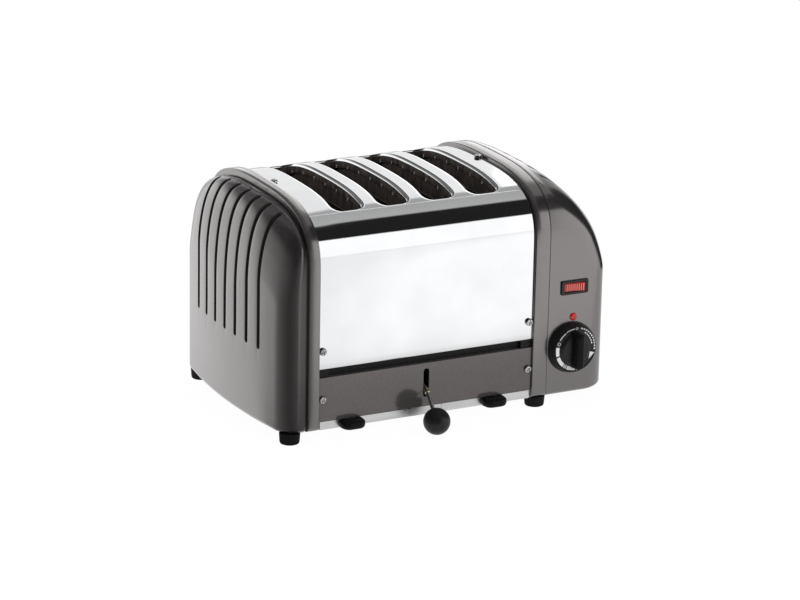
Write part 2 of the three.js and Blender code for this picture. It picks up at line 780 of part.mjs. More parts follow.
/** A tray's pull: a flat tab with rounded front corners and a finger hollow beneath. */
function pullTab(x) {
  const back = skinFront - clearance;
  const top = chassisBottom - clearance;
  const shape = new THREE.Shape();
  const half = tabWidth / 2;
  shape.moveTo(x - half, back);
  shape.lineTo(x - half, back - tabReach + tabCornerRadius);
  const turnY = back - tabReach + tabCornerRadius;
  shape.absarc(x - half + tabCornerRadius, turnY, tabCornerRadius, Math.PI, Math.PI * 3 / 2);
  shape.lineTo(x + half - tabCornerRadius, back - tabReach);
  shape.absarc(x + half - tabCornerRadius, turnY, tabCornerRadius, -Math.PI / 2, 0);
  shape.lineTo(x + half, back);
  const wall = tabThickness / 4;
  const hollow = box(x - half + 2 * wall, x + half - 2 * wall, back - tabReach / 2, back - wall,
    top - tabThickness - overrun, top - 2 * wall);
  return prismZ(shape, top - tabThickness, top).subtract(hollow);
}

const leftTray = [skinLeft + chassisThickness + clearance, spineLeft - clearance];
const rightTray = [spineRight + clearance, skinRight - chassisThickness - clearance];

// Eject lever

/** A point at a distance in front of the pivot along the lever's line at rest. */
function alongLever(distance) {
  return [leverX, leverPivotY - distance * Math.cos(leverRest), leverPivotZ - distance * Math.sin(leverRest)];
}

/** The lever: a rod out through the slot, a hub on the pin and an arm with a roller under the rack. */
function lever() {
  const hub = bar(leverHubDiameter, [leverX - leverHubWidth / 2, leverPivotY, leverPivotZ],
    [leverX + leverHubWidth / 2, leverPivotY, leverPivotZ], turnSteps);
  const knee = alongLever(bushDistance + bushLength);
  const outer = bar(leverRodDiameter, alongLever(0), knee);
  const kneeBall = ball(leverRodDiameter, knee, smallTurnSteps);
  const centre = [ballX, ballY, ballZ];
  const end = new THREE.Vector3(...centre).lerp(new THREE.Vector3(...knee), ballEndShare()).toArray();
  const tip = bar(leverRodDiameter, knee, end);
  const arm = bar(leverArmDiameter, alongLever(0), [leverX, rollerY, rollerZ]);
  const roller = bar(leverRollerDiameter, [leverX - leverRollerWidth / 2, rollerY, rollerZ],
    [leverX + leverRollerWidth / 2, rollerY, rollerZ]);
  const pinHole = bar(pivotPinDiameter + 2 * clearance, [leverX - leverHubWidth, leverPivotY, leverPivotZ],
    [leverX + leverHubWidth, leverPivotY, leverPivotZ], turnSteps);
  return joined([hub, outer, kneeBall, tip, arm, roller]).subtract(pinHole);
}

/** How far from the ball's centre the rod ends, as a share of the way back to the knee. */
function ballEndShare() {
  const knee = new THREE.Vector3(...alongLever(bushDistance + bushLength));
  const centre = new THREE.Vector3(ballX, ballY, ballZ);
  return (ballDiameter / 2 - ballBoreDepth + clearance) / centre.distanceTo(knee);
}

/** The ball, bored for the rod's end. */
function leverBall() {
  const knee = new THREE.Vector3(...alongLever(bushDistance + bushLength));
  const centre = new THREE.Vector3(ballX, ballY, ballZ);
  const reach = centre.distanceTo(knee);
  const inner = centre.clone().lerp(knee, (ballDiameter / 2 - ballBoreDepth) / reach).toArray();
  return ball(ballDiameter, centre.toArray())
    .subtract(bar(leverRodDiameter + 2 * clearance, inner, knee.toArray()));
}

/** The brass bush on the rod where it passes the panel. */
function leverBush() {
  const [from, to] = [alongLever(bushDistance - bushLength / 2), alongLever(bushDistance + bushLength / 2)];
  const [before, after] = [alongLever(bushDistance - bushLength), alongLever(bushDistance + bushLength)];
  return bar(bushDiameter, from, to).subtract(bar(leverRodDiameter + clearance, before, after));
}

/** The bracket that holds the lever's pin, standing on the chassis. */
function leverBracket() {
  const inner = leverHubWidth / 2 + clearance;
  const outer = inner + bracketWall;
  const bottom = chassisTop + clearance;
  const top = leverPivotZ + leverHubDiameter / 2;
  const y0 = leverPivotY - bracketDepth / 2;
  const y1 = leverPivotY + bracketDepth / 2;
  const block = box(leverX - outer, leverX + outer, y0, y1, bottom, top);
  const room = box(leverX - inner, leverX + inner, y0 - overrun, y1 + overrun,
    bottom + bracketWall, top + overrun);
  const pinHole = bar(pivotPinDiameter + 2 * clearance, [leverX - pivotPinLength, leverPivotY, leverPivotZ],
    [leverX + pivotPinLength, leverPivotY, leverPivotZ], turnSteps);
  return block.subtract(room).subtract(pinHole);
}

/** The pin through the bracket and the lever's hub. */
function pivotPin() {
  return bar(pivotPinDiameter, [leverX - pivotPinLength / 2, leverPivotY, leverPivotZ],
    [leverX + pivotPinLength / 2, leverPivotY, leverPivotZ], turnSteps);
}

// Toast rack

/** The rack: two cross plates on guide bushes, and in each slot a bar with prongs under the bread. */
function toastRack() {
  const x0 = slotCentres[0] - rackOverhang;
  const x1 = slotCentres[slotCount - 1] + rackOverhang;
  const crosses = [-rackCrossY, rackCrossY].map((y) =>
    box(x0, x1, y - rackCrossDepth / 2, y + rackCrossDepth / 2, rackCrossBottom, rackCrossTop));
  const barBottom = rackBarTop - rackBarHeight;
  const carriers = slotCentres.flatMap((x) => {
    const half = rackBarWidth / 2;
    const rail = box(x - half, x + half, -rackBarHalf, rackBarHalf, barBottom, rackBarTop);
    const legs = [-rackCrossY, rackCrossY].map((y) => box(x - half, x + half,
      y - rackCrossDepth / 4, y + rackCrossDepth / 4, rackCrossBottom, rackBarTop));
    const prongs = repeat(rackProngs, (i) => {
      const y = (rackBarHalf - rackProngSize) * (2 * i / (rackProngs - 1) - 1);
      return box(x - rackProngReach / 2, x + rackProngReach / 2, y - rackProngSize / 2, y + rackProngSize / 2,
        rackBarTop - rackProngSize, rackBarTop);
    });
    return [rail, ...legs, ...prongs];
  });
  const bushes = rodCentres.map(([x, y]) =>
    rod(rodBushDiameter, rackCrossTop - rodBushHeight, rackCrossTop).translate([x, y, 0]));
  const bores = rodCentres.map(([x, y]) =>
    rod(rodDiameter + 2 * rodRunningGap, rackCrossTop - 2 * rodBushHeight, rackCrossTop + overrun)
      .translate([x, y, 0]));
  return joined([...crosses, ...carriers, ...bushes]).subtract(joined(bores));
}

/** A guide rod from the chassis up to the element above it. */
function guideRod() {
  return rod(rodDiameter, chassisTop + clearance, elementBottom - clearance);
}

// Controls, built about the knob's or the switch's own axis and facing -Y

/** A solid turned from facing +Z to facing -Y. */
function facingFront(shape) {
  return shape.rotate([90, 0, 0]);
}

/** The timer knob: a dished skirt, a round core and a bar grip, bored for the spindle. */
function knob() {
  const outer = knobDiameter / 2;
  const core = knobCoreDiameter / 2;
  const rim = knobSkirtHeight / 4;
  const skirt = turned([[0, 0], [outer, 0], [outer, knobSkirtHeight - 2 * rim],
    [outer - rim, knobSkirtHeight - rim], [core, knobSkirtHeight], [0, knobSkirtHeight]], 2 * turnSteps);
  const round = prismZ(roundedRectangle(0, 0, knobGripWidth, knobGripLength, knobGripWidth / 2),
    knobSkirtHeight - rim, knobSkirtHeight + knobGripHeight);
  const waist = turned([[0, knobSkirtHeight - rim], [core, knobSkirtHeight - rim],
    [core - rim, knobSkirtHeight + 2 * rim], [0, knobSkirtHeight + 2 * rim]], 2 * turnSteps);
  const bore = rod(spindleDiameter + 2 * clearance, -overrun, spindleInside, turnSteps);
  return facingFront(joined([skirt, waist, round]).subtract(bore));
}

/** The timer's spindle, from inside its body to inside the knob. */
function spindle() {
  const outside = clearance + castingWall + clearance + spindleInside - clearance;
  return facingFront(rod(spindleDiameter, -spindleInside, outside, turnSteps));
}

/** The timer's body behind the wall, with a bore for the spindle. */
function timerBody() {
  const body = prismZ(roundedRectangle(timerShift, 0, timerWidth, timerHeight, castingWall), -timerDepth, 0);
  const bore = rod(spindleDiameter + 2 * clearance, -spindleInside - clearance, overrun, turnSteps);
  return facingFront(body.subtract(bore));
}

/** The rocker switch's bezel and body, with a pocket for the rocker and holes for its trunnions. */
function switchBody() {
  const bezel = prismZ(roundedRectangle(0, 0, bezelWidth, bezelHeight, bezelCornerRadius),
    clearance, bezelDepth);
  const body = box(-switchBodyWidth / 2, switchBodyWidth / 2, -switchBodyHeight / 2, switchBodyHeight / 2,
    -switchBodyDepth, bezelDepth);
  const aside = (rockerWidth + bezelDepth) / 2;
  const above = rockerHeight / 2 + clearance;
  const pocket = box(-aside, aside, -above, above, bezelDepth - rockerPocketDepth, bezelDepth + overrun);
  const pivotZ = bezelDepth - rockerPivotDepth;
  const reach = rockerHeight / 2 + trunnionReach + clearance;
  const trunnions = bar(trunnionDiameter + 2 * clearance, [0, -reach, pivotZ], [0, reach, pivotZ]);
  return facingFront(bezel.add(body).subtract(pocket).subtract(trunnions));
}

/** The rocker: a shallow dished face on two trunnions, built about its pivot. */
function rocker() {
  const half = rockerWidth / 2;
  const rise = rockerPivotDepth;
  const dip = rise - half * Math.tan(THREE.MathUtils.degToRad(rockerTiltDegrees));
  const root = rise - rockerDepth;
  const outline = [[-half, rise], [0, dip], [half, rise], [half, dip - bezelDepth], [half / 2, root],
    [-half / 2, root], [-half, dip - bezelDepth]].map(([x, z]) => new THREE.Vector2(x, z));
  const block = prismY(outline, -rockerHeight / 2, rockerHeight / 2);
  const reach = rockerHeight / 2 + trunnionReach;
  return facingFront(block.add(bar(trunnionDiameter, [0, -reach, 0], [0, reach, 0])));
}

/** The red pip over the knob, with a stem in the wall. */
function pip() {
  const radius = pipDiameter / 2;
  const stem = pipStemDiameter / 2;
  const dome = pipDomeShares.map(([across, up]) => [radius * across, pipHeight * up]);
  return facingFront(turned([[0, -castingWall], [stem, -castingWall], [stem, clearance], [radius, clearance],
    ...dome, [0, pipHeight]], smallTurnSteps));
}

/** The cable gland at the back, with an open bore and no cable. */
function gland() {
  const bore = glandBore / 2;
  const shank = glandShankDiameter / 2;
  const flange = glandFlangeDiameter / 2;
  const dome = glandDomeDiameter / 2;
  return turned([[bore, -castingWall - glandFlangeThickness], [shank, -castingWall - glandFlangeThickness],
    [shank, clearance], [flange, clearance], [flange, glandFlangeThickness - clearance],
    [dome, glandFlangeThickness], [bore + clearance, glandReach], [bore, glandReach],
    [bore, -castingWall - glandFlangeThickness]]).rotate([-90, 0, 0]);
}

// Feet and screws

/** A rubber foot with a plug up through the casting's floor and a recess in its sole. */
function foot() {
  const radius = footDiameter / 2;
  const recess = footRecessDiameter / 2;
  return turned([[0, footRecessDepth], [recess, footRecessDepth], [recess, 0], [radius - footTaper, 0],
    [radius, footHeight - clearance], [footPlugDiameter / 2, footHeight - clearance],
    [footPlugDiameter / 2, footHeight + castingFloor], [0, footHeight + castingFloor]], smallTurnSteps);
}

/** A pan-head screw, its head standing up from z zero. */
function screw() {
  const head = screwHeadDiameter / 2;
  const shank = screwShankDiameter / 2;
  const dome = screwDomeShares.map(([across, up]) => [head * across, screwHeadHeight * up]);
  return turned([[0, -screwShankLength], [shank, -screwShankLength], [shank, 0], [head, 0], ...dome,
    [0, screwHeadHeight]], screwSteps);
}

// The whole part

const toaster = new THREE.Group();

const frontSheet = frontSkin();
const lowerSheet = lowerSkin();
const shell = new THREE.Group();
shell.add(
  leftCasting(),
  rightCasting(),
  piece('front_panel', frontSheet, chrome),
  piece('top_plate', topSkin(), chrome),
  piece('rear_panel', atBack(frontSheet), chrome),
  piece('lower_front_panel', lowerSheet.subtract(leverSlot()), paint),
  piece('rear_lower_panel', atBack(lowerSheet), paint),
);

const frame = new THREE.Group();
const rail = frontRail();
const plate = carrier();
frame.add(
  piece('left_bulkhead', bulkhead(-1), zinc),
  piece('right_bulkhead', bulkhead(1), zinc),
  piece('front_rail', rail, blackPaint),
  piece('rear_rail', atBack(rail), blackPaint),
  piece('rear_element_carrier', plate, zinc),
  piece('front_element_carrier', atBack(plate), zinc),
  piece('chassis_base', chassis(), zinc),
);

const heating = new THREE.Group();
const elementMesh = piece('element', element(), mica);
elementCentres.forEach((x, i) => heating.add(copyAt(elementMesh, `heating_element_${i + 1}`, x, 0, 0)));
const guardMesh = piece('guard', guard(), zinc);
slotCentres.forEach((x, i) => {
  const aside = (slotWidth + guardWire) / 2;
  heating.add(
    copyAt(guardMesh, `bread_guard_${i + 1}_left`, x - aside, 0, 0),
    copyAt(guardMesh, `bread_guard_${i + 1}_right`, x + aside, 0, 0),
  );
});

const mechanism = new THREE.Group();
const rodMesh = piece('rod', guideRod(), zinc);
mechanism.add(
  piece('toast_rack', toastRack(), zinc),
  ...rodCentres.map(([x, y], i) => copyAt(rodMesh, `rack_guide_rod_${i + 1}`, x, y, 0)),
  piece('eject_lever', lever(), zinc),
  piece('eject_lever_ball', leverBall(), blackGloss),
  piece('eject_lever_bush', leverBush(), brass),
  piece('lever_pivot_pin', pivotPin(), zinc),
  piece('lever_bracket', leverBracket(), zinc),
);

const trays = new THREE.Group();
trays.add(
  piece('left_crumb_tray', tray(...leftTray), zinc),
  piece('right_crumb_tray', tray(...rightTray), zinc),
  piece('left_tray_pull', pullTab(leftFace + leftTabInset), blackGloss),
  piece('right_tray_pull', pullTab(rightFace - rightTabInset), blackGloss),
);

const controls = new THREE.Group();
const knobMesh = piece('timer_knob', knob(), blackGloss);
knobMesh.position.set(knobX, castingFront - clearance, knobZ);
const spindleMesh = piece('timer_spindle', spindle(), zinc);
spindleMesh.position.set(knobX, castingInside + clearance, knobZ);
const timerMesh = piece('timer_body', timerBody(), blackPaint);
timerMesh.position.set(knobX, castingInside + clearance, knobZ);
const switchMesh = piece('switch_housing', switchBody(), blackGloss);
switchMesh.position.set(controlX, castingFront, switchZ);
const rockerMesh = piece('switch_rocker', rocker(), redLens);
rockerMesh.position.set(controlX, castingFront - bezelDepth + rockerPivotDepth, switchZ);
rockerMesh.rotation.z = -THREE.MathUtils.degToRad(rockerTiltDegrees);
const pipMesh = piece('indicator_pip', pip(), redLens);
pipMesh.position.set(controlX, castingFront, pipZ);
const glandMesh = piece('cable_gland', gland(), blackGloss);
glandMesh.position.set(glandX, -castingFront, glandZ);
controls.add(knobMesh, spindleMesh, timerMesh, switchMesh, rockerMesh, pipMesh, glandMesh);

const fittings = new THREE.Group();
const footMesh = piece('foot', foot(), rubber);
[['left', footLeftX], ['right', footRightX]].forEach(([side, x]) => fittings.add(
  copyAt(footMesh, `front_${side}_foot`, x, -footY, 0),
  copyAt(footMesh, `rear_${side}_foot`, x, footY, 0),
));
const screwMesh = piece('screw', screw(), zinc);
['left', 'right'].forEach((side, i) => {
  const x = screwXs[i];
  const seat = skinBack + clearance;
  const placed = [
    [`chrome_screw_front_${side}`, -seat, chromeScrewZ, Math.PI / 2],
    [`lower_screw_front_${side}`, -seat, lowerScrewZ, Math.PI / 2],
    [`chrome_screw_rear_${side}`, seat, chromeScrewZ, -Math.PI / 2],
    [`lower_screw_rear_${side}`, seat, lowerScrewZ, -Math.PI / 2],
    [`top_screw_${side}`, 0, bodyHeight - skinInset + clearance, 0],
  ];
  for (const [name, y, z, tilt] of placed) {
    const mesh = copyAt(screwMesh, name, x, y, z);
    mesh.rotation.x = tilt;
    fittings.add(mesh);
  }
});

toaster.add(shell, frame, heating, mechanism, trays, controls, fittings);

// The footprint reaches from the lever's ball to the gland, so its middle lies in front of the body's
toaster.position.y = (ballDiameter / 2 - ballY - halfDepth - glandReach) / 2;

export default toaster;
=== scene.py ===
"""Looks of the four-slot toaster: smooth castings, polished sheet, controls, studio light and camera."""

import math
from functools import partial

import bmesh
import bpy
import numpy as np
from mathutils import Matrix, Vector


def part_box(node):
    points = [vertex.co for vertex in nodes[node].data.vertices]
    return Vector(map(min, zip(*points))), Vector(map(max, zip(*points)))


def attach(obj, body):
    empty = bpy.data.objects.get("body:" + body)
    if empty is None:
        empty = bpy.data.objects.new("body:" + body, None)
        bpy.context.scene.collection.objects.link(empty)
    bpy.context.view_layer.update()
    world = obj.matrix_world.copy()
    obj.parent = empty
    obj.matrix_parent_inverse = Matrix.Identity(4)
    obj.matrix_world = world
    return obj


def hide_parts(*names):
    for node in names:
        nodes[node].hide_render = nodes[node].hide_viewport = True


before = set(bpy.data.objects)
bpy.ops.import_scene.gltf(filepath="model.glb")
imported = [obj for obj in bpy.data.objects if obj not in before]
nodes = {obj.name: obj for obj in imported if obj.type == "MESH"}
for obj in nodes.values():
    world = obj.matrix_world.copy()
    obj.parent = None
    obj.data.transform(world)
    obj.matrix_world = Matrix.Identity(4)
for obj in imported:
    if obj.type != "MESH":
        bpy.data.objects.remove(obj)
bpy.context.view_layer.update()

# Lengths in this file are millimetres in the body's own frame, whose middle lies 15 mm further back
MM = 0.001
SHIFT_Y = 15.0


def extent(name):
    """A node's lowest and highest corners."""
    return [np.round(np.array(corner) / MM, 3) - (0, SHIFT_Y, 0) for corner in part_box(name)]


def middle(name):
    """A node's middle."""
    return np.round(np.mean(extent(name), axis=0), 4)


(LEFT_END, _, FOOT_HEIGHT), (LEFT_FACE, HALF_DEPTH, BODY_TOP) = extent("left_end_casting")
RIGHT_FACE, RIGHT_END = (corner[0] for corner in extent("right_end_casting"))
SKIN_LEFT, SKIN_RIGHT = (corner[0] for corner in extent("front_panel"))
# Where the arch springs from its upright walls, how far the sheets lie under it, and how thick they are
SPRINGING = 160.0
SKIN_INSET = 3.0
SHEET = 1.2
JOINT_Y = extent("top_plate")[1][1]
GUARDS = [(f"bread_guard_{i}_left", f"bread_guard_{i}_right") for i in range(1, 5)]
SLOT_CENTRES = [round((middle(a)[0] + middle(b)[0]) / 2, 4) for a, b in GUARDS]
ELEMENT_CENTRES = [middle(f"heating_element_{i}")[0] for i in range(1, 6)]
FRONT, BACK, UP = (0, -1, 0), (0, 1, 0), (0, 0, 1)


# Small tools


def unit(vectors):
    """Vectors, one or in rows, brought to length one."""
    return vectors / np.maximum(np.linalg.norm(vectors, axis=-1, keepdims=True), 1e-9)


def placed(name, data):
    """A new object in the scene."""
    thing = bpy.data.objects.new(name, data)
    bpy.context.scene.collection.objects.link(thing)
    return thing


def built(name, points, faces, material, node=None, body="body", sharp=35, merge=0.0005, other=None,
          others=()):
    """A piece from points and faces, smooth except at sharp edges, which may stand for a node."""
    mesh = bpy.data.meshes.new(name)
    places = (np.array(points, float) + (0, SHIFT_Y, 0)) * MM
    mesh.from_pydata(places.tolist(), [], [tuple(int(i) for i in face) for face in faces])
    for index in others:
        mesh.polygons[index].material_index = 1
    work = bmesh.new()
    work.from_mesh(mesh)
    bmesh.ops.remove_doubles(work, verts=work.verts, dist=merge * MM)
    bmesh.ops.dissolve_degenerate(work, edges=work.edges, dist=1e-7)
    bmesh.ops.recalc_face_normals(work, faces=work.faces)
    work.to_mesh(mesh)
    work.free()
    mesh.shade_smooth()
    mesh.set_sharp_from_angle(angle=math.radians(sharp))
    mesh.materials.append(material)
    if other:
        mesh.materials.append(other)
    piece = placed(name, mesh)
    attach(piece, body)
    if node:
        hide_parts(node)


def gathered(parts):
    """Several (points, faces) pairs as one."""
    points, faces, start = [], [], 0
    for part_points, part_faces in parts:
        part_points = np.asarray(part_points, float)
        points.append(part_points)
        faces.extend(tuple(i + start for i in face) for face in part_faces)
        start += len(part_points)
    return np.vstack(points), faces


def lofted(rings, caps=True, closed=True):
    """Faces between rings of equally many points, with flat caps."""
    count = len(rings[0])
    points = np.vstack([np.asarray(ring, float) for ring in rings])
    faces = []
    for i in range(len(rings) - 1):
        for j in range(count if closed else count - 1):
            k = (j + 1) % count
            faces.append((i * count + j, i * count + k, (i + 1) * count + k, (i + 1) * count + j))
    if caps:
        faces.append(tuple(reversed(range(count))))
        faces.append(tuple(range(len(points) - count, len(points))))
    return points, faces


def softened(points, radius, steps=4, closed=False):
    """A path whose corners are eased by a given length."""
    path = [np.asarray(p, float) for p in points]
    out = []
    for i, corner in enumerate(path):
        if not closed and i in (0, len(path) - 1):
            out.append(corner)
            continue
        back, ahead = path[i - 1] - corner, path[(i + 1) % len(path)] - corner
        reach = min(radius, np.linalg.norm(back) * 0.48, np.linalg.norm(ahead) * 0.48)
        start, end = corner + unit(back) * reach, corner + unit(ahead) * reach
        for t in np.linspace(0, 1, steps + 1):
            out.append(start * (1 - t) ** 2 + corner * 2 * t * (1 - t) + end * t * t)
    return np.array(out)


def turned(profile, steps=64):
    """Rings of a profile of (radius, height) turned about the third axis."""
    turns = np.arange(steps) * 2 * math.pi / steps
    return [np.column_stack([r * np.cos(turns), r * np.sin(turns), np.full(steps, c)]) for r, c in profile]


def lathe(profile, steps=64):
    """A turned profile, capped flat at both ends."""
    return lofted(turned(profile, steps))


def sleeve(profile, steps=64):
    """A turned profile that closes on itself round an open bore."""
    rings = turned(profile, steps)
    return lofted(rings + rings[:1], caps=False)


def quarter(cx, cy, radius, start, steps):
    """Points of a quarter circle, anticlockwise from an angle in degrees."""
    angles = [math.radians(start + 90 * k / steps) for k in range(steps + 1)]
    return [(cx + radius * math.cos(a), cy + radius * math.sin(a)) for a in angles]


# The sides of a rectangle's four corners, anticlockwise, and the angle at which each one's arc starts
CORNERS = ((1, 1, 0), (-1, 1, 90), (-1, -1, 180), (1, -1, 270))


def rounded_rectangle(width, height, radius, steps=6, cx=0.0):
    """Points round a rectangle with rounded corners, anticlockwise from the right side's upper end."""
    points = []
    for sx, sy, start in CORNERS:
        points += quarter(cx + sx * (width / 2 - radius), sy * (height / 2 - radius), radius, start, steps)
    return np.array(points)


def inset_loop(loop, distance):
    """A closed anticlockwise loop of (a, b) points drawn in by a distance."""
    loop = np.asarray(loop, float)
    along = unit(unit(np.roll(loop, -1, 0) - loop) + unit(loop - np.roll(loop, 1, 0)))
    return loop + distance * np.column_stack([-along[:, 1], along[:, 0]])


def raised(loop, height):
    """A loop of (a, b) points set at a height."""
    return np.column_stack([loop, np.full(len(loop), height)])


def slab(loop, levels):
    """A loop stacked at (inset, height) levels, capped flat."""
    return lofted([raised(inset_loop(loop, inset) if inset else loop, height) for inset, height in levels])


def tube(path, radius, steps=20):
    """A round bar along a path, with its section carried round the bends."""
    path = np.asarray(path, float)
    runs = np.diff(path, axis=0)
    tangents = unit(np.vstack([runs[:1], runs[:-1] + runs[1:], runs[-1:]]))
    side = np.cross(tangents[0], UP)
    if np.linalg.norm(side) < 1e-3:
        side = np.cross(tangents[0], BACK)
    turns = np.arange(steps) * 2 * math.pi / steps
    rings = []
    for point, tangent in zip(path, tangents):
        side = unit(side - tangent * (side @ tangent))
        across = np.cross(tangent, side)
        rings.append(point + radius * (np.outer(np.cos(turns), side) + np.outer(np.sin(turns), across)))
    return lofted(rings)


def at(shape, origin, out=FRONT, up=UP):
    """A shape made about the third axis, turned to face out and set at an origin."""
    points, faces = shape
    out = unit(np.asarray(out, float))
    up = unit(np.asarray(up, float) - out * (np.asarray(up, float) @ out))
    basis = np.column_stack([np.cross(up, out), up, out])
    return np.asarray(points, float) @ basis.T + origin, faces


# Materials


def tree_of(name):
    """A new material with its nodes, its links and its principled shader."""
    material = bpy.data.materials.new(name)
    material.use_nodes = True
    tree = material.node_tree
    return material, tree, tree.nodes["Principled BSDF"]


def feed(tree, node, inputs):
    """Set or link a node's inputs, given by name or number."""
    for name, value in inputs.items():
        if isinstance(value, bpy.types.NodeSocket):
            tree.links.new(value, node.inputs[name])
        else:
            node.inputs[name].default_value = value
    return node


def added(tree, kind, inputs=(), **settings):
    """A new node with its inputs and settings."""
    node = tree.nodes.new("ShaderNode" + kind)
    for name, value in settings.items():
        setattr(node, name, value)
    return feed(tree, node, dict(inputs))


def noise(tree, scale, detail=2.0, stretch=(1, 1, 1), kind="TexNoise", output="Fac"):
    """A noise over the object's own coordinates, in features per metre."""
    where = added(tree, "TexCoord").outputs["Object"]
    spread = added(tree, "Mapping", {"Vector": where, "Scale": stretch}).outputs["Vector"]
    return added(tree, kind, {"Vector": spread, "Scale": scale, "Detail": detail}).outputs[output]


def stepped(tree, value, stops):
    """A value from 0 to 1 looked up in a row of (place, tone) stops, where a number is a grey."""
    ramp = added(tree, "ValToRGB", {"Fac": value})
    elements = ramp.color_ramp.elements
    while len(elements) < len(stops):
        elements.new(0.5)
    for element, (position, tone) in zip(elements, stops):
        element.position = position
        element.color = (*np.broadcast_to(tone, 3), 1)
    return ramp.outputs["Color"]


def ranged(tree, value, low, high):
    """A value from 0 to 1 as one between two others."""
    return added(tree, "MapRange", {"Value": value, "To Min": low, "To Max": high}).outputs["Result"]


def bumped(tree, height, strength, distance):
    """A normal with fine relief."""
    relief = {"Height": height, "Strength": strength, "Distance": distance}
    return added(tree, "Bump", relief).outputs["Normal"]


def surface(name, low, high, rough, metallic=0.0, tone_scale=400, grain=2500, relief=(0.1, 0.00005), coat=0.0,
            ior=1.5, stretch=(1, 1, 1), detail=3.0, kind="TexNoise"):
    """A material of two tones, each a colour or a grey, with uneven roughness and fine relief."""
    material, tree, shader = tree_of(name)
    tones = noise(tree, tone_scale, detail, stretch, kind)
    fine = noise(tree, grain, 2.0, stretch)
    feed(tree, shader, {"Base Color": stepped(tree, tones, ((0.35, low), (0.65, high))),
                        "Roughness": ranged(tree, fine, *rough), "Normal": bumped(tree, fine, *relief),
                        "Metallic": metallic, "IOR": ior, "Coat Weight": coat, "Coat Roughness": 0.05})
    return material


def cast_paint_finish():
    """Metallic charcoal paint on a casting: fine flakes, faint orange peel and a clear coat."""
    material, tree, shader = tree_of("charcoal_paint")
    flakes = noise(tree, 2600, 1.0, kind="TexVoronoi", output="Color")
    tone = stepped(tree, flakes, ((0.1, (0.168, 0.157, 0.155)), (0.9, (0.218, 0.204, 0.201))))
    feed(tree, shader, {"Base Color": tone, "Roughness": ranged(tree, noise(tree, 60, 3.0), 0.2, 0.26),
                        "Normal": bumped(tree, noise(tree, 900), 0.12, 0.00006),
                        "Metallic": 0.92, "Coat Weight": 0.8, "Coat Roughness": 0.07})
    return material


def polished_finish():
    """Mirror-polished sheet with a faint waviness and hair-fine polishing marks."""
    material, tree, shader = tree_of("mirror_steel")
    tone = stepped(tree, noise(tree, 25), ((0.35, (0.83, 0.835, 0.845)), (0.65, (0.88, 0.885, 0.895))))
    marks = noise(tree, 900, stretch=(0.03, 1, 1))
    feed(tree, shader, {"Base Color": tone, "Roughness": ranged(tree, marks, 0.025, 0.07),
                        "Normal": bumped(tree, noise(tree, 14, 1.0), 0.1, 0.002), "Metallic": 1.0})
    return material


PAINT = cast_paint_finish()
# Painted shade: a near-black copy of the casting paint for the grooves' sunk faces, standing in for the shade
# deep in them
GROOVE_SHADE = surface("groove_painted_shade", (0.02, 0.019, 0.018), (0.035, 0.033, 0.032), (0.5, 0.65), metallic=0.3,
                 tone_scale=1200)
CHROME = polished_finish()
# The castings' charcoal paint made less metallic for the lower panels, and darker as painted shade for the
# dim floor close in front that they reflect
PANEL_PAINT_SHADED = surface("panel_charcoal_shaded", (0.12, 0.11, 0.107), (0.17, 0.157, 0.153), (0.1, 0.16), metallic=0.6,
                tone_scale=1300, grain=1100, relief=(0.1, 0.00004))
STEEL = surface("plated_steel", (0.5, 0.5, 0.505), (0.62, 0.62, 0.63), (0.25, 0.42), metallic=1.0,
                tone_scale=120, grain=1800, stretch=(1, 0.1, 1))
SCREW = surface("bright_screw_steel", (0.48, 0.48, 0.49), (0.62, 0.62, 0.63), (0.12, 0.22), metallic=1.0,
                tone_scale=900)
ZINC = surface("zinc_sheet", (0.68, 0.68, 0.685), (0.8, 0.8, 0.81), (0.22, 0.36), metallic=1.0,
               tone_scale=150, grain=1500, stretch=(0.1, 1, 1))
# The rails' own black, also used as painted shade on the bulkheads
RAIL_AND_GAP_SHADE = surface("black_rail", (0.007, 0.007, 0.0075), (0.012, 0.012, 0.0125), (0.4, 0.55), ior=1.3)
GLOSS = surface("black_gloss", (0.008, 0.008, 0.009), (0.013, 0.013, 0.014), (0.2, 0.28), tone_scale=300,
                relief=(0.03, 0.00003), ior=1.42)
SATIN = surface("black_satin", (0.008, 0.008, 0.009), (0.014, 0.014, 0.015), (0.3, 0.42), tone_scale=500,
                relief=(0.08, 0.00004), ior=1.38)
RUBBER = surface("foot_rubber", 0.007, 0.012, (0.6, 0.8), tone_scale=900,
                 relief=(0.25, 0.00008), ior=1.25)
MATT = surface("black_matt", (0.005, 0.005, 0.0055), (0.009, 0.009, 0.0095), (0.35, 0.45), tone_scale=500,
               relief=(0.08, 0.00004), ior=1.2)
BRASS = surface("brass_bush", (0.74, 0.63, 0.42), (0.86, 0.76, 0.56), (0.2, 0.32), metallic=1.0)
MICA = surface("mica_sheet", (0.035, 0.024, 0.018), (0.105, 0.075, 0.055), (0.35, 0.6), tone_scale=90,
               grain=700, relief=(0.3, 0.0003), detail=6.0)
LINING = surface("mica_edge", (0.03, 0.025, 0.023), (0.085, 0.071, 0.064), (0.4, 0.6), tone_scale=260,
                 grain=500, relief=(0.2, 0.0002), stretch=(1, 1, 0.15), detail=4.0)
CLIP = surface("clip_steel", 0.36, 0.48, (0.4, 0.5), metallic=0.2, tone_scale=900)
ROD = surface("bright_rod", (0.82, 0.82, 0.825), (0.9, 0.9, 0.905), (0.1, 0.18), metallic=1.0, tone_scale=700)
RIBBON = surface("heating_ribbon", (0.1, 0.085, 0.075), (0.19, 0.165, 0.15), (0.35, 0.5), metallic=0.9)
WIRE = surface("guard_wire", (0.13, 0.12, 0.115), (0.22, 0.205, 0.2), (0.3, 0.45), metallic=1.0)
WHITE = surface("printed_white", (0.78, 0.78, 0.77), (0.88, 0.88, 0.87), (0.35, 0.45), tone_scale=1500)
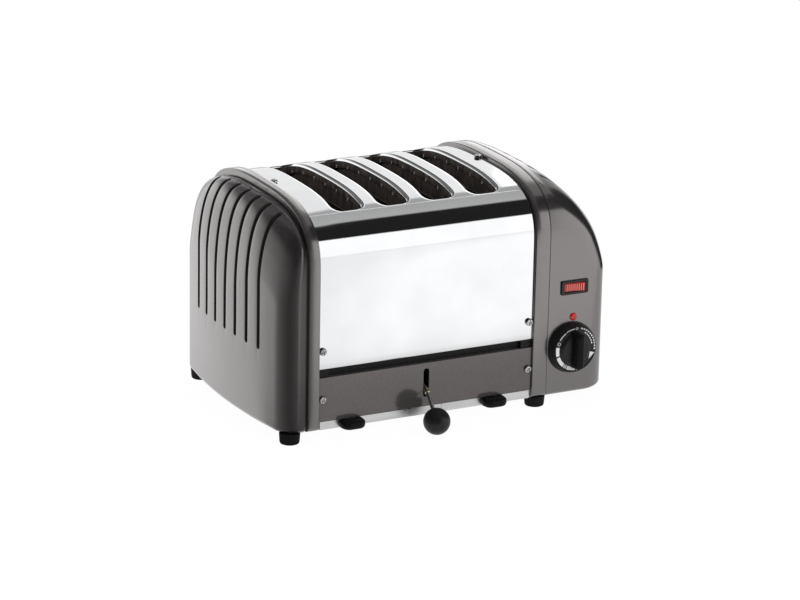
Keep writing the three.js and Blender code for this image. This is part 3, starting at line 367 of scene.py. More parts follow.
RED = surface("red_lens", (0.43, 0.012, 0.01), (0.55, 0.02, 0.016), (0.12, 0.2), tone_scale=700, coat=0.25)
# Painted highlight: pale pink stripes at the ribs' pitch, standing in for the light on the rocker's ribs
RED_WITH_PAINTED_HIGHLIGHTS = surface("lens_painted_rib_highlights", (0.4, 0.014, 0.012), (0.72, 0.2, 0.17), (0.2, 0.3), tone_scale=149.6,
                     relief=(0.05, 0.00003), kind="TexWave", detail=0.0)


# The arch, in section an oval of the third power over upright walls


def arch_height(y, across, rise):
    """The arch's height at a depth."""
    return SPRINGING + rise * np.maximum(0, 1 - np.abs(y / across) ** 3) ** (1 / 3)


def arch_points(turn, across, rise):
    """The arch's depths and heights at angles from its springing."""
    return across * np.cos(turn) ** (2 / 3), SPRINGING + rise * np.sin(turn) ** (2 / 3)


SKIN_ACROSS = HALF_DEPTH - SKIN_INSET
SKIN_RISE = BODY_TOP - SPRINGING - SKIN_INSET


def crown(y):
    """The skin's height at a depth."""
    return arch_height(y, SKIN_ACROSS, SKIN_RISE)


# End castings. Each is made with its end facing +X and its cut face at zero, then set in place


# How far below the crown the arch's rays meet, how far the face bulges, and the lower edge's rounding
FAN = 117.0
BULGE = 10.0
LOWER_EDGE = 6.0


class End:
    """One end's form: an arch that rolls over a shoulder into a slightly bulging face.

    The upright corner's rounding grows from the start's height up to the shoulder's depth at the crown, as
    the three shares say. Step and crown draw the arch in, and the grooves end a rib run behind the face.
    """

    def __init__(self, reach, corner, start, shoulder, shares, step, crown, rib_run):
        self.reach, self.corner, self.start, self.shoulder = reach, corner, start, shoulder
        self.soft, self.ease, self.full = shares
        self.rib_run = rib_run
        self.across = HALF_DEPTH - step
        self.rise = BODY_TOP - SPRINGING - step - crown
        self.top = BODY_TOP - step - crown
        self.pull = self.top - FAN
        y, z = arch_points(np.linspace(0, math.pi / 2, 4001), self.across, self.rise)
        wall = np.linspace(self.pull, SPRINGING, 600)[:-1]
        y = np.concatenate([np.full(len(wall), self.across), y])
        z = np.concatenate([wall, z])
        self.angles = np.arctan2(z - self.pull, y)
        self.fars = np.hypot(y, z - self.pull)

    def face_x(self, y, z):
        """How far the end reaches at a depth and height."""
        y, z = np.broadcast_arrays(np.asarray(y, float), np.asarray(z, float))
        above = z > self.pull
        angle = np.arctan2(np.maximum(z - self.pull, 0), np.abs(y))
        far = np.where(above, np.interp(angle, self.angles, self.fars), self.across)
        near = np.where(above, np.hypot(y, z - self.pull), np.abs(y))
        distance = np.maximum(far - near, 0)
        edge_z = np.where(above, self.pull + far * np.sin(angle), z)
        rise = np.maximum((edge_z - self.start) / (self.top - self.start), 0)
        height = rise * rise * (1 + self.soft) / (rise + self.soft)
        drop = self.corner + (FAN - self.corner) * height
        depth = self.corner + (self.shoulder - self.corner) * height ** self.ease
        power = 2 / (2.0 + (self.full - 2.0) * height)
        cosine = np.clip(1 - distance / drop, 0, 1) ** (1 / power)
        back = depth * (1 - np.sqrt(np.maximum(1 - cosine ** 2, 0)) ** power)
        return self.reach - BULGE * (y / HALF_DEPTH) ** 2 - back


# The grooves: how many beside the middle one, pitch, half width, depth, lower end, and the hump between two
RIBS_ASIDE = 3
RIB_PITCH = 22.4
RIB_HALF = 2.3
RIB_DEPTH = 3.6
RIB_FOOT = 84.0
FLUTE_EASE = 0.7


def casting_columns(end):
    """Depths of the face's columns: close together at the corners and at the grooves' edges."""
    across = end.across
    corner = [across - end.corner * (1 - math.cos(math.radians(a))) for a in np.linspace(0, 90, 15)]
    corner += [across - 0.003, across - 0.02, across - 0.06]
    plain = list(np.linspace(across - end.corner - 2, 71.5, 6))
    columns = {round(v, 4) for v in corner + plain}
    groove = (1.2, 1.8, 2.05, 2.3, 2.55, 2.8, 3.1)
    between = (4.6, 6.6, 8.9, 11.2, 13.5, 15.8, 17.8)
    for i in range(RIBS_ASIDE + 1):
        offsets = (0, *groove, *(-off for off in groove), *(between if i < RIBS_ASIDE else ()))
        columns.update(round(i * RIB_PITCH + off, 4) for off in offsets)
    return np.array(sorted({y for column in columns if column >= 0 for y in (column, -column)}))[::-1]


def grooved_columns(end, columns):
    """The face as columns of points from the lower edge over the shoulder to the arch, and what lies sunk,
    for painted shade.
    """
    grid, dark = [], []
    for y0 in columns:
        crest = arch_height(y0, end.across, end.rise)
        low = np.linspace(FOOT_HEIGHT + LOWER_EDGE, 78, 6)
        fine = np.linspace(80, 90, 15)
        u = np.linspace(0, 1, 86)[1:]
        high = crest - (crest - 90) * (1 - u) ** 3
        z = np.concatenate([low, fine, high])
        y = np.full(len(z), y0)
        x = end.face_x(y, z)
        side = np.column_stack([x, z])
        run = unit(np.gradient(side, axis=0))
        lengths = np.concatenate([[0], np.cumsum(np.linalg.norm(np.diff(side, axis=0), axis=1))])
        nearest = max(-RIBS_ASIDE, min(RIBS_ASIDE, round(y0 / RIB_PITCH)))
        off = abs(y0 - nearest * RIB_PITCH)
        start = np.interp(RIB_FOOT + RIB_HALF, z, lengths)
        end_x = end.reach - end.rib_run + RIB_HALF
        past = np.nonzero(x > end_x)[0]
        stop = lengths[past[-1]] if len(past) else lengths[-1]
        beyond = np.maximum(np.maximum(start - lengths, lengths - stop), 0)
        near = np.hypot(off, beyond)
        sunk = np.clip((RIB_HALF + 0.4 - near) / 0.8, 0, 1)
        # Points sunk in a groove, whose faces get painted shade
        dark.append(sunk > 0.3)
        sunk = RIB_DEPTH * sunk * sunk * (3 - 2 * sunk)
        if abs(y0) < RIBS_ASIDE * RIB_PITCH:
            fade = np.clip((lengths - start + 14) / 28, 0, 1) * np.clip((stop - lengths + 6) / 14, 0, 1)
            hump = (off - RIB_PITCH / 2) / (RIB_PITCH / 2)
            sunk = sunk + FLUTE_EASE * hump ** 4 * fade * (off > 0)
        normal_x, normal_z = run[:, 1], -run[:, 0]
        grid.append(np.column_stack([x - sunk * normal_x, y, z - sunk * normal_z]))
    return grid, dark


def casting(end, rings):
    """A closed casting: face, walls along the rings' (x, step, crown) steps, and a flat underside."""
    columns = casting_columns(end)
    grid, dark = grooved_columns(end, columns)
    turns = np.arange(8) * math.pi / 16
    rounding = LOWER_EDGE * (1 - np.column_stack([np.cos(turns), np.sin(turns)]))
    full = []
    for y0, column in zip(columns, grid):
        base_x = float(end.face_x(y0, FOOT_HEIGHT + LOWER_EDGE))
        foot = [(base_x - drawn, y0 * (1 - drawn / end.across), FOOT_HEIGHT + up) for up, drawn in rounding]
        full.append(np.vstack([foot, column]))
    rows = len(full[0])
    face_points, face_faces = lofted(full, caps=False, closed=False)
    lift = rows - len(dark[0])
    sunken = np.array([np.concatenate([np.zeros(lift, bool), column]) for column in dark]).ravel()
    # Faces in the grooves, which take the near-black painted shade
    groove_shade_faces = [i for i, face in enumerate(face_faces) if sum(sunken[v] for v in face) > 1]
    outline = np.vstack([full[0], [column[-1] for column in full[1:-1]], full[-1][::-1]])
    loops = [outline]
    for x, step, crown in rings:
        ring = outline.copy()
        ring[:, 1] *= (HALF_DEPTH - step) / end.across
        rise = BODY_TOP - SPRINGING - step - crown
        high = ring[:, 2] > SPRINGING
        ring[high, 2] = SPRINGING + (ring[high, 2] - SPRINGING) * rise / end.rise
        if step > 5:
            ring[:, 2] = np.maximum(ring[:, 2], FOOT_HEIGHT + 3)
        ring[:, 0] = x
        loops.append(ring)
    wall_points, wall_faces = lofted(loops, caps=False, closed=False)
    under = [column[0] for column in full]
    under += [loop[-1] for loop in loops[1:-2]]
    under += [loop[0] for loop in reversed(loops[1:-2])]
    under_faces = [tuple(range(len(under)))]
    shape = gathered([(face_points, face_faces), (wall_points, wall_faces), (np.array(under), under_faces)])
    return (*shape, groove_shade_faces)


def make_castings():
    """Both end castings, whose cut faces end in the same rings of (x, step, crown)."""
    left = End(LEFT_FACE - LEFT_END, 15.6, 133.7, 31.0, (1.3, 1.53, 2.91), 1.1, 6.4, 27.0)
    right = End(RIGHT_END - RIGHT_FACE, 17.6, 129.3, 72.3, (0.17, 1.23, 1.7), 0.0, 0.0, 64.0)
    flange = [(14.66, 0.5, 6.4), (14.55, 0.65, 6.35), (14.5, 1.1, 6.2), (14.48, 3.6, 4.7), (14.3, 4.4, 4.1),
              (14.0, 4.5, 4.0), (11.9, 4.5, 4.0), (11.6, 4.35, 3.9), (11.5, 4.0, 3.5), (11.5, 1.0, 0.5),
              (11.4, 0.5, 0.25), (11.1, 0.16, 0.08), (10.6, 0.05, 0.02), (6.0, 0.02, 0)]
    seam = [(15.9, 0, 0), (15.6, 0.03, 0), (15.45, 0.2, 0), (15.3, 0.5, 0), (15.0, 0.5, 0), (14.85, 0.2, 0),
            (14.7, 0.03, 0), (14.4, 0, 0), (7.0, 0, 0)]
    inside = [(0.7, 0, 0), (0.2, 0.2, 0), (0, 0.7, 0), (0, 5.5, 0), (12, 5.5, 0)]
    for side, end, rings, face, turn in (("left", left, flange, LEFT_FACE, (-1, -1, 1)),
                                         ("right", right, seam, RIGHT_FACE, (1, 1, 1))):
        points, faces, grooves = casting(end, rings + inside)
        # The grooves' faces take the painted shade
        built(f"{side}_casting_shell", points * turn + (face, 0, 0), faces, PAINT, node=f"{side}_end_casting",
              sharp=50, other=GROOVE_SHADE, others=grooves)


# Polished sheet


def arch_path(from_y, steps=48):
    """Points of the skin's arch from its springing at the front up to a depth."""
    last = math.acos((abs(from_y) / SKIN_ACROSS) ** 1.5)
    y, z = arch_points(last * (np.arange(steps + 1) / steps) ** 1.5, SKIN_ACROSS, SKIN_RISE)
    return np.column_stack([-y, z])


def bent_sheet(path):
    """A sheet whose section follows a path in Y and Z, its inside on the path's right."""
    run = unit(np.gradient(path, axis=0))
    inward = np.column_stack([run[:, 1], -run[:, 0]])
    inner = path + inward * SHEET
    rings = []
    ease = 0.35
    edge = [(0, ease), (0.3 * ease, 0.3 * ease), (ease, 0), (2 * ease, 0)]
    for x, draw in [(SKIN_LEFT + a, b) for a, b in edge] + [(SKIN_RIGHT - a, b) for a, b in reversed(edge)]:
        outside, inside = path + inward * draw, inner - inward * draw
        loop = np.vstack([outside, inside[::-1]])
        rings.append(np.column_stack([np.full(len(loop), x), loop]))
    points, faces = lofted(rings, caps=False)
    count, half = len(rings[0]), len(path)
    for ring in (0, len(rings) - 1):
        start = ring * count
        for j in range(half - 1):
            faces.append((start + j, start + j + 1, start + count - 2 - j, start + count - 1 - j))
    return points, faces


def make_skin():
    """The front and the rear sheets with their turned-in lower edges."""
    foot = softened([(-103.8, 69.5), (-SKIN_ACROSS, 69.5), (-SKIN_ACROSS, 76.0)], 1.6, 6)
    straight = [(-SKIN_ACROSS, z) for z in np.linspace(90, 155, 6)]
    path = np.vstack([foot, straight, arch_path(JOINT_Y + 0.5)])
    points, faces = bent_sheet(path)
    built("front_panel_sheet", points, faces, CHROME, node="front_panel")
    built("rear_panel_sheet", points * (1, -1, 1), faces, CHROME, node="rear_panel")


def slot_loops(centre, left, right):
    """Matching points of a slot's edge and of its cell's border: offsets from the edge, then the border."""
    end_of_side, border_spread, steps = 72, 6.5, 8
    side_ys = np.linspace(-end_of_side, end_of_side, 25)

    def around(right_x, left_x, end_y, spread, corners):
        points = []
        for (sx, sy, _), corner in zip(CORNERS, corners):
            if sx == sy:
                points += [(right_x if sx > 0 else left_x, sx * y) for y in side_ys]
            else:
                points += [(centre + sy * s * spread, sy * end_y) for s in (0.5, 0, -0.5)]
            points += corner
        return np.array(points)

    def loop(out):
        half_w, half_l, radius = 14.5 + out, 80 + out * 0.6, 8 + out * 0.8
        spread = half_w - radius
        corners = [quarter(centre + sx * spread, sy * (half_l - radius), radius, start, steps)
                   for sx, sy, start in CORNERS]
        return around(centre + half_w, centre - half_w, half_l, spread, corners)

    shares = [k / (steps // 2) for k in range(steps // 2 + 1)]
    corners = []
    for sx, sy, _ in CORNERS:
        wall = right if sx > 0 else left
        run = [(wall, sy * (end_of_side + (JOINT_Y - end_of_side) * share)) for share in shares]
        run += [(wall + (centre + sx * border_spread - wall) * share, sy * JOINT_Y) for share in shares[1:]]
        corners.append(run if sx * sy > 0 else run[::-1])
    return loop, around(right, left, JOINT_Y, border_spread, corners)


# The rim's section, outwards and upwards from a slot's edge on the crown, and where its lining starts
RIM = ((3.8, 0.0), (3.1, -0.05), (2.3, -0.22), (1.5, -0.58), (0.95, -1.02), (0.45, -1.65), (0.12, -2.4),
       (0.0, -3.1), (0.0, -3.3), (0.0, -6.5), (0.0, -9.6), (0.3, -10.0), (0.9, -10.0), (1.2, -9.6),
       (1.2, -5.0), (1.4, -3.2), (2.4, -1.7), (3.8, -1.2))
LINED_FROM = -3.05


def make_top():
    """The top plate: four slots with rolled rims and turned-down lips."""
    halfway = [(a + b) / 2 for a, b in zip(SLOT_CENTRES, SLOT_CENTRES[1:])]
    edges = [SKIN_LEFT, *halfway, SKIN_RIGHT]
    parts, lined, start = [], [], 0
    for centre, left, right in zip(SLOT_CENTRES, edges, edges[1:]):
        loop, border = slot_loops(centre, left, right)
        inward = loop(RIM[0][0]) - border
        plan = [(border + inward * t, 0.0) for t in (0, 0.3, 0.6, 0.85)]
        plan += [(loop(out), rise) for out, rise in RIM]
        plan += [(border + inward * t, -SHEET) for t in (0.6, 0)]
        points, faces = lofted([np.column_stack([p, crown(p[:, 1]) + rise]) for p, rise in plan], caps=False)
        count = len(border)
        for ring, (above, below) in enumerate(zip(plan, plan[1:])):
            if max(above[1], below[1]) < LINED_FROM:
                lined += range(start + ring * count, start + (ring + 1) * count)
        last = len(points) - count
        for j in range(count):
            k = (j + 1) % count
            x, y = border[[j, k]].T
            gaps = (np.abs(y) - JOINT_Y, x - SKIN_LEFT, x - SKIN_RIGHT)
            if any(np.all(np.abs(gap) < 1e-6) for gap in gaps):
                faces.append((j, k, last + k, last + j))
        parts.append((points, faces))
        start += len(faces)
    built("top_plate_sheet", *gathered(parts), CHROME, node="top_plate", sharp=40, other=LINING, others=lined)


# Controls, each made about the third axis and set on the right casting's front


KNOB_AT = middle("timer_knob")
KNOB_AT[1] = extent("timer_knob")[1][1]
SWITCH_AT = middle("switch_housing")
SWITCH_AT[1] = -HALF_DEPTH
PIP_AT = middle("indicator_pip")
PIP_AT[1] = -HALF_DEPTH
# How far the printed marks stand over the knob's dished face, and how thick they are
PRINT_LIFT = 0.1
PRINT_THICKNESS = 0.25


def dish(radius):
    """The height of the knob's marked face at a radius."""
    return np.interp(radius, [15.5, 17.0, 19.0, 21.2, 22.3], [8.6, 8.1, 7.9, 8.2, 8.7])


def make_knob():
    """The timer knob: a tapered skirt with a dished face, a raised middle and a rounded bar grip."""
    outside = softened([(2, 0), (25.0, 0), (25.2, 0.8), (24.4, 4.0), (23.0, 7.8), (22.4, 8.8)], 0.8)
    face = [(r, dish(r)) for r in (21.9, 21.2, 20.5, 19.5, 18.5, 17.5, 16.6)]
    cap = softened([(16.0, 8.7), (14.8, 10.6), (12.6, 11.4), (0.5, 11.8)], 1.4)
    skirt = lathe(np.vstack([outside, face, cap]), 96)
    grip = slab(rounded_rectangle(9.6, 36.6, 4.7, 10),
                [(-0.9, 6.5), (-0.6, 9.0), (-0.25, 12), (0.0, 15), (0.3, 17.2), (0.8, 18.8), (1.5, 19.9),
                 (2.4, 20.6), (3.4, 20.95), (4.4, 21.0)])
    points, faces = at(gathered([skirt, grip]), KNOB_AT)
    built("timer_knob_body", points, faces, SATIN, node="timer_knob", body="timer_dial", other=MATT,
          others=range(len(skirt[1]), len(faces)))
    built("timer_knob_marks", *at(knob_marks(), KNOB_AT), WHITE, body="timer_dial", sharp=60, merge=0.0)


def polar(radius, degrees):
    """A point of the knob's face at a radius and an angle, anticlockwise from the right."""
    angle = math.radians(degrees)
    return radius * math.cos(angle), radius * math.sin(angle)


def printed(top, faces, border):
    """A thin printed patch from its top points, its top faces and the order of its border."""
    top = np.array([(x, y, float(dish(math.hypot(x, y))) + PRINT_LIFT) for x, y in top])
    count = len(top)
    faces = list(faces)
    faces += [tuple(count + v for v in reversed(face)) for face in faces]
    faces += [(a, count + a, count + b, b) for a, b in zip(border, border[1:] + border[:1])]
    return np.vstack([top, top - (0, 0, PRINT_THICKNESS)]), faces


def arc_patch(r0, r1, a0, a1, steps=None):
    """A printed patch between two radii and two angles in degrees."""
    steps = steps or max(2, int(abs(a1 - a0) / 3))
    angles = np.linspace(a0, a1, steps + 1)
    count = len(angles)
    faces = [(i, i + 1, count + i + 1, count + i) for i in range(count - 1)]
    border = list(range(count)) + list(range(2 * count - 1, count - 1, -1))
    return printed([polar(r, a) for r in (r0, r1) for a in angles], faces, border)


def wedge(r0, r1, angle, tip):
    """A printed arrow tip across the ring, pointing along the turn."""
    corners = [polar(r0, angle), polar(r1, angle), polar((r0 + r1) / 2, angle + tip)]
    return printed(corners, [(0, 1, 2)], [0, 1, 2])


def figure(text, radius, angle, size):
    """Plain figures set upright to the ring."""
    curve = bpy.data.curves.new("figure", "FONT")
    curve.body = text
    curve.size = size
    curve.align_x = curve.align_y = "CENTER"
    holder = placed("figure", curve)
    flat = bpy.data.meshes.new_from_object(holder.evaluated_get(bpy.context.evaluated_depsgraph_get()))
    bpy.data.objects.remove(holder)
    co = np.array([v.co for v in flat.vertices], float).reshape(-1, 3)
    faces = [tuple(p.vertices) for p in flat.polygons]
    bpy.data.meshes.remove(flat)
    turn = math.radians(angle - 90)
    x, y = polar(radius, angle)
    x = x + co[:, 0] * math.cos(turn) - co[:, 1] * math.sin(turn)
    y = y + co[:, 0] * math.sin(turn) + co[:, 1] * math.cos(turn)
    return np.column_stack([x, y, dish(np.hypot(x, y)) + PRINT_LIFT + 0.06]), faces


def knob_marks():
    """A ring of plain marks: thin arcs, two rings of dots, numbered blocks, two wedges and rows of dashes."""
    parts = [arc_patch(20.0, 20.7, 93, 118), arc_patch(19.4, 20.2, 121.5, 147)]
    for radius, angle, size, count in ((20.6, 86, 1.1, 6), (19.0, 158, 1.5, 9)):
        cx, cy = polar(radius, angle)
        for k in range(count):
            x, y = polar(size, 360 * k / count)
            r, turn = math.hypot(cx + x, cy + y), math.degrees(math.atan2(cy + y, cx + x))
            parts.append(arc_patch(r - 0.27, r + 0.27, turn - 1.1, turn + 1.1, 2))
    for a0, a1 in ((168.5, 194.5), (199.5, 229.5), (232.5, 235.0), (237.7, 240.4), (243.5, 271.5)):
        parts.append(arc_patch(17.3, 20.9, a0, a1))
    parts += [wedge(17.0, 21.5, 275, 15.5), wedge(16.9, 21.9, 345, -22)]
    for r0, r1, first, last, pitch, width in ((20.6, 21.9, -7, 76, 7.6, 4.6), (18.0, 19.2, 11, 60, 8.2, 4.8)):
        parts += [arc_patch(r0, r1, a, a + width, 2) for a in np.arange(first, last, pitch)]
    return gathered(parts)


def make_figures():
    """The dark figures on the knob's white blocks."""
    parts = [figure(text, 19.1, angle, 3.4) for text, angle in (("1", 181.5), ("2", 214.5), ("3", 257.5))]
    built("timer_knob_figures", *at(gathered(parts), KNOB_AT), SATIN, body="timer_dial", merge=0.0)


def make_switch():
    """The rocker switch's housing, a frame round a deep pocket, and the ribbed rocker, with painted
    highlights and painted shadow.
    """
    outer = rounded_rectangle(29.6, 14, 1.6)
    inner = rounded_rectangle(22.9, 9.0, 0.6, cx=0.35)
    levels = [(outer, 0.0), (outer, 1.3), (inset_loop(outer, 0.25), 1.8), (inset_loop(outer, 0.8), 2.0),
              (inset_loop(inner, -0.5), 2.0), (inner, 1.6), (inner, -7.5)]
    frame_shape = lofted([raised(loop, height) for loop, height in levels])
    built("switch_frame", *at(frame_shape, SWITCH_AT), GLOSS, node="switch_housing", sharp=40)
    half, proud, rib_pitch, slope = 10.7, 4.5, 2.1, math.radians(6)
    across = np.linspace(-half, half, 171)
    face = proud - half * math.tan(slope) * (1 - np.abs(across) / half)
    ribs = 0.3 * (0.5 + 0.5 * np.cos(across * 2 * math.pi / rib_pitch))
    ribs *= np.clip((half - 1.2 - np.abs(across)) / 0.5, 0, 1)
    rows = []
    for y, drop, share in ((-4.1, 0.5, 0), (-3.85, 0.15, 0), (-3.5, 0, 0), (-3.2, 0, 1), (0, 0, 1),
                           (3.2, 0, 1), (3.5, 0, 0), (3.85, 0.15, 0), (4.1, 0.5, 0)):
        rows.append(np.column_stack([across, np.full(len(across), y), face - drop + ribs * share]))
    for y in (4.1, -4.1):
        rows.append(np.column_stack([across, np.full(len(across), y), np.full(len(across), -2.0)]))
    points, faces = lofted(list(np.array(rows).transpose(1, 0, 2)))
    # Painted shadow: the lens's faces along its left, right and upper edges, where the frame shades it, take
    # the plain red without the painted highlights
    middles = [np.mean([points[v] for v in corners], axis=0) for corners in faces]
    frame_shadow_faces = [i for i, m in enumerate(middles) if m[0] < -9.4 or m[0] > 10.0 or m[1] > 3.1]
    turned_out = (math.sin(-slope), 0, math.cos(slope))
    shape = at((points, faces), (0, 0, 0), turned_out, (0, 1, 0))
    built("rocker_lens", *at(shape, SWITCH_AT + np.array(BACK) * 2.5), RED_WITH_PAINTED_HIGHLIGHTS, body="rocker",
          node="switch_rocker", sharp=40, other=RED, others=frame_shadow_faces)


def make_pip():
    """The red pip in its shallow seat."""
    profile = softened([(0.4, -5), (2, -5), (2, 0.3), (3.8, 0.3), (3.75, 0.7), (2.6, 1.5), (0.3, 1.65)], 0.5)
    built("indicator_lens", *at(lathe(profile, 48), PIP_AT), RED, node="indicator_pip")


def make_gland():
    """The rubber gland at the back with its open bore."""
    profile = softened([(3.75, -9), (7, -9), (7, 0.3), (11, 0.3), (11, 3.7), (8.2, 4.2), (5.0, 8.0),
                        (4.1, 8.3), (3.75, 7.8), (3.75, -8.9)], 0.7)
    x, _, z = middle("cable_gland")
    built("gland_boot", *at(sleeve(profile), (x, HALF_DEPTH, z), BACK), SATIN, node="cable_gland")


# Lever, trays, feet, screws


PIVOT = middle("lever_pivot_pin")
BALL = middle("eject_lever_ball")
# The lever's slope at rest, its inner arm, and how far in front of the pivot its knee and its bush lie
REST_TURN = math.radians(37)
ARM_LENGTH = 54
KNEE_AT = 43
BUSH_AT = 37


def along_lever(distance):
    """A point on the lever's line in front of its pivot."""
    return PIVOT - distance * np.array([0, math.cos(REST_TURN), math.sin(REST_TURN)])


def make_lever():
    """The lever's rod, hub, arm and roller, its bush and its ball."""
    knee = along_lever(KNEE_AT)
    away = unit(BALL - knee)
    path = softened([PIVOT, knee, BALL - away * 3], 5, 6)
    arm_end = along_lever(-ARM_LENGTH)
    hub = sleeve(softened([(2.8, -4), (6, -4), (6, 4), (2.8, 4)], 0.5, 3), 40)
    roller = lathe(softened([(0.5, -7), (3.5, -7), (3.5, 7), (0.5, 7)], 0.4, 3), 32)
    parts = [tube(path, 2.0, 24), tube([PIVOT, arm_end], 2.5, 24), at(hub, PIVOT, (1, 0, 0)),
             at(roller, arm_end, (1, 0, 0))]
    built("lever_rod", *gathered(parts), ROD, body="lever", node="eject_lever")
    bush = sleeve(softened([(2.05, -3), (2.7, -3), (2.7, 3), (2.05, 3)], 0.3, 3), 40)
    built("lever_bush", *at(bush, along_lever(BUSH_AT), along_lever(1) - PIVOT), BRASS, body="lever",
          node="eject_lever_bush")
    radius, opening = 12.8, math.radians(12)
    ball = [(2.3, radius * math.cos(opening) - 2), (2.35, radius * math.cos(opening) - 0.3)]
    turns = np.linspace(opening, math.radians(178), 48)
    ball += [(radius * math.sin(t), radius * math.cos(t)) for t in turns]
    built("lever_ball", *at(lathe(ball, 96), BALL, -away), SATIN, body="lever", node="eject_lever_ball")


def make_pulls():
    """The crumb trays' rounded pulls."""
    levels = [(3.6, 10.7), (2.2, 10.9), (1.1, 11.5), (0.4, 12.5), (0, 14.0), (0, 15.9), (0.3, 17.0),
              (0.9, 17.9), (1.9, 18.5), (3.2, 18.7)]
    radius = 8
    for side in ("left", "right"):
        name = f"{side}_tray_pull"
        (x0, front, _), (x1, back, _) = extent(name)
        loop = [(x1, back), (x0, back)]
        loop += quarter(x0 + radius, front + radius, radius, 180, 12)
        loop += quarter(x1 - radius, front + radius, radius, 270, 12)
        shape = slab(softened(loop, 0.5, 1, closed=True), levels)
        built(f"{side}_pull_tab", *shape, MATT, body=f"{side}_tray", node=name, sharp=50)


def make_feet():
    """Rubber feet with eased edges and a recess."""
    profile = softened([(0.5, 3), (4.5, 3), (4.5, 0), (8.8, 0), (9.4, 1.6), (10, 10.2), (4, 10.2), (4, 13.5),
                        (0.5, 13.5)], 0.8)
    for name in ("front_left_foot", "rear_left_foot", "front_right_foot", "rear_right_foot"):
        x, y, _ = middle(name)
        built(name + "_rubber", *at(lathe(profile), (x, y, 0), UP, BACK), RUBBER, node=name)


# The screws' heads: how high they stand, the cross recess's half width, slope, reach and depth
HEAD_HEIGHT = 2.3
CROSS_HALF, CROSS_SLOPE, CROSS_REACH, CROSS_DEPTH = 0.5, 0.18, 2.25, 1.1


def pan_head(turn, steps=96):
    """A pan-head screw with a cross recess, its seat at zero."""
    angles = np.arange(steps) * 2 * math.pi / steps
    rings = turned([(1.8, -6), (1.8, 0), (3.5, 0), (3.7, 0.25), (3.7, 0.9), (3.6, 1.4), (3.35, 1.85),
                    (2.9, 2.15)], steps)
    for r in (*np.linspace(2.6, 1.0, 9), *np.linspace(0.85, 0.1, 6)):
        away = np.minimum(np.abs(r * np.cos(angles - turn)), np.abs(r * np.sin(angles - turn)))
        cut = np.clip((CROSS_HALF - away) / CROSS_SLOPE, 0, 1) * np.clip((CROSS_REACH - r) / 0.25, 0, 1)
        height = HEAD_HEIGHT - 0.02 * r * r - CROSS_DEPTH * cut
        rings.append(np.column_stack([r * np.cos(angles), r * np.sin(angles), height]))
    return lofted(rings)


def make_screws():
    """The ten screws, each turned its own way."""
    turn = 0.3
    for side in ("left", "right"):
        for place, out in (("chrome_screw_front", FRONT), ("lower_screw_front", FRONT),
                           ("chrome_screw_rear", BACK), ("lower_screw_rear", BACK), ("top_screw", UP)):
            name = f"{place}_{side}"
            low, high = extent(name)
            tip = np.where(np.array(out) < 0, low, high)
            origin = np.where(out, tip - np.array(out) * HEAD_HEIGHT, middle(name))
            shape = at(pan_head(turn), origin, out, BACK if out is UP else UP)
            built(name + "_head", *shape, SCREW, node=name, sharp=30)
            turn += 0.83


# Heating elements and guards, with half an element's thickness


MICA_HALF = 6.5


def make_guards():
    """Round wire guards beside each slot."""
    for pair in GUARDS:
        for name in pair:
            x = middle(name)[0]
            parts = [tube([(x, -83.5, z), (x, 83.5, z)], 1.0, 12) for z in (109, 197)]
            for y in np.linspace(-75.5, 75.5, 5):
                parts.append(tube([(x, y, 109), (x, y, 197)], 0.95, 12))
            built(name + "_wires", *gathered(parts), WIRE, node=name)


def block(x_pair, y_pair, z_pair):
    """A plain closed block between pairs of limits."""
    (x0, x1), (y0, y1), (z0, z1) = sorted(x_pair), y_pair, z_pair
    return slab(np.array([(x0, y0), (x1, y0), (x1, y1), (x0, y1)]), [(0, z0), (0, z1)])


def make_windings():
    """Heating ribbons across both mica faces of each element, and the faces' upper edges."""
    for i, centre in enumerate(ELEMENT_CENTRES):
        ribbons, edges = [], []
        for sign in (-1, 1):
            face = centre + sign * MICA_HALF
            inside = face - sign * 0.1
            for z in np.arange(112, 196, 7.0):
                ribbons.append(block((inside, face + sign * 0.35), (-74, 74), (z, z + 1.8)))
            edges.append(block((inside, face + sign * 0.9), (-76, 76), (196, 211.5)))
        built(f"element_{i + 1}_ribbons", *gathered(ribbons), RIBBON)
        built(f"element_{i + 1}_edges", *gathered(edges), LINING)


def make_clips():
    """Small bright clips along both sides of each slot, under its lips."""
    for i, centre in enumerate(SLOT_CENTRES):
        clips = []
        for sign in (-1, 1):
            for y in np.linspace(-72, 72, 7):
                z = crown(y) - 8.2
                clips.append(block((centre + sign * 13.7, centre + sign * 14.8), (y - 0.6, y + 0.6),
                                   (z - 1.3, z + 1.3)))
        built(f"slot_{i + 1}_clips", *gathered(clips), CLIP)


def dress_frame():
    """Materials and eased edges for the CAD nodes that stay in view."""
    finishes = {"timer_body": SATIN, "lower_front_panel": PANEL_PAINT_SHADED, "rear_lower_panel": PANEL_PAINT_SHADED}
    # The rails are black themselves; the bulkheads take the same black as painted shade, for the dark gaps at
    # the sheets' ends
    finishes.update(dict.fromkeys(("front_rail", "rear_rail", "left_bulkhead", "right_bulkhead"), RAIL_AND_GAP_SHADE))
    finishes.update(dict.fromkeys(("chassis_base", "left_crumb_tray", "right_crumb_tray"), ZINC))
    for name, node in nodes.items():
        if node.hide_render:
            continue
        finish = finishes.get(name, MICA if name.startswith("heating") else STEEL)
        if not node.material_slots:
            node.data.materials.append(finish)
        for holder in node.material_slots:
            holder.material = finish
        bevel = node.modifiers.new("eased_edges", "BEVEL")
        bevel.width = (0.9 if finish is PANEL_PAINT_SHADED else 0.3) * MM
        bevel.segments = 2
        bevel.limit_method = "ANGLE"
        bevel.angle_limit = math.radians(40)


make_castings()
make_skin()
make_top()
make_knob()
make_figures()
make_switch()
make_pip()
make_gland()
make_lever()
make_pulls()
make_feet()
make_screws()
make_guards()
make_windings()
make_clips()
dress_frame()


# Studio


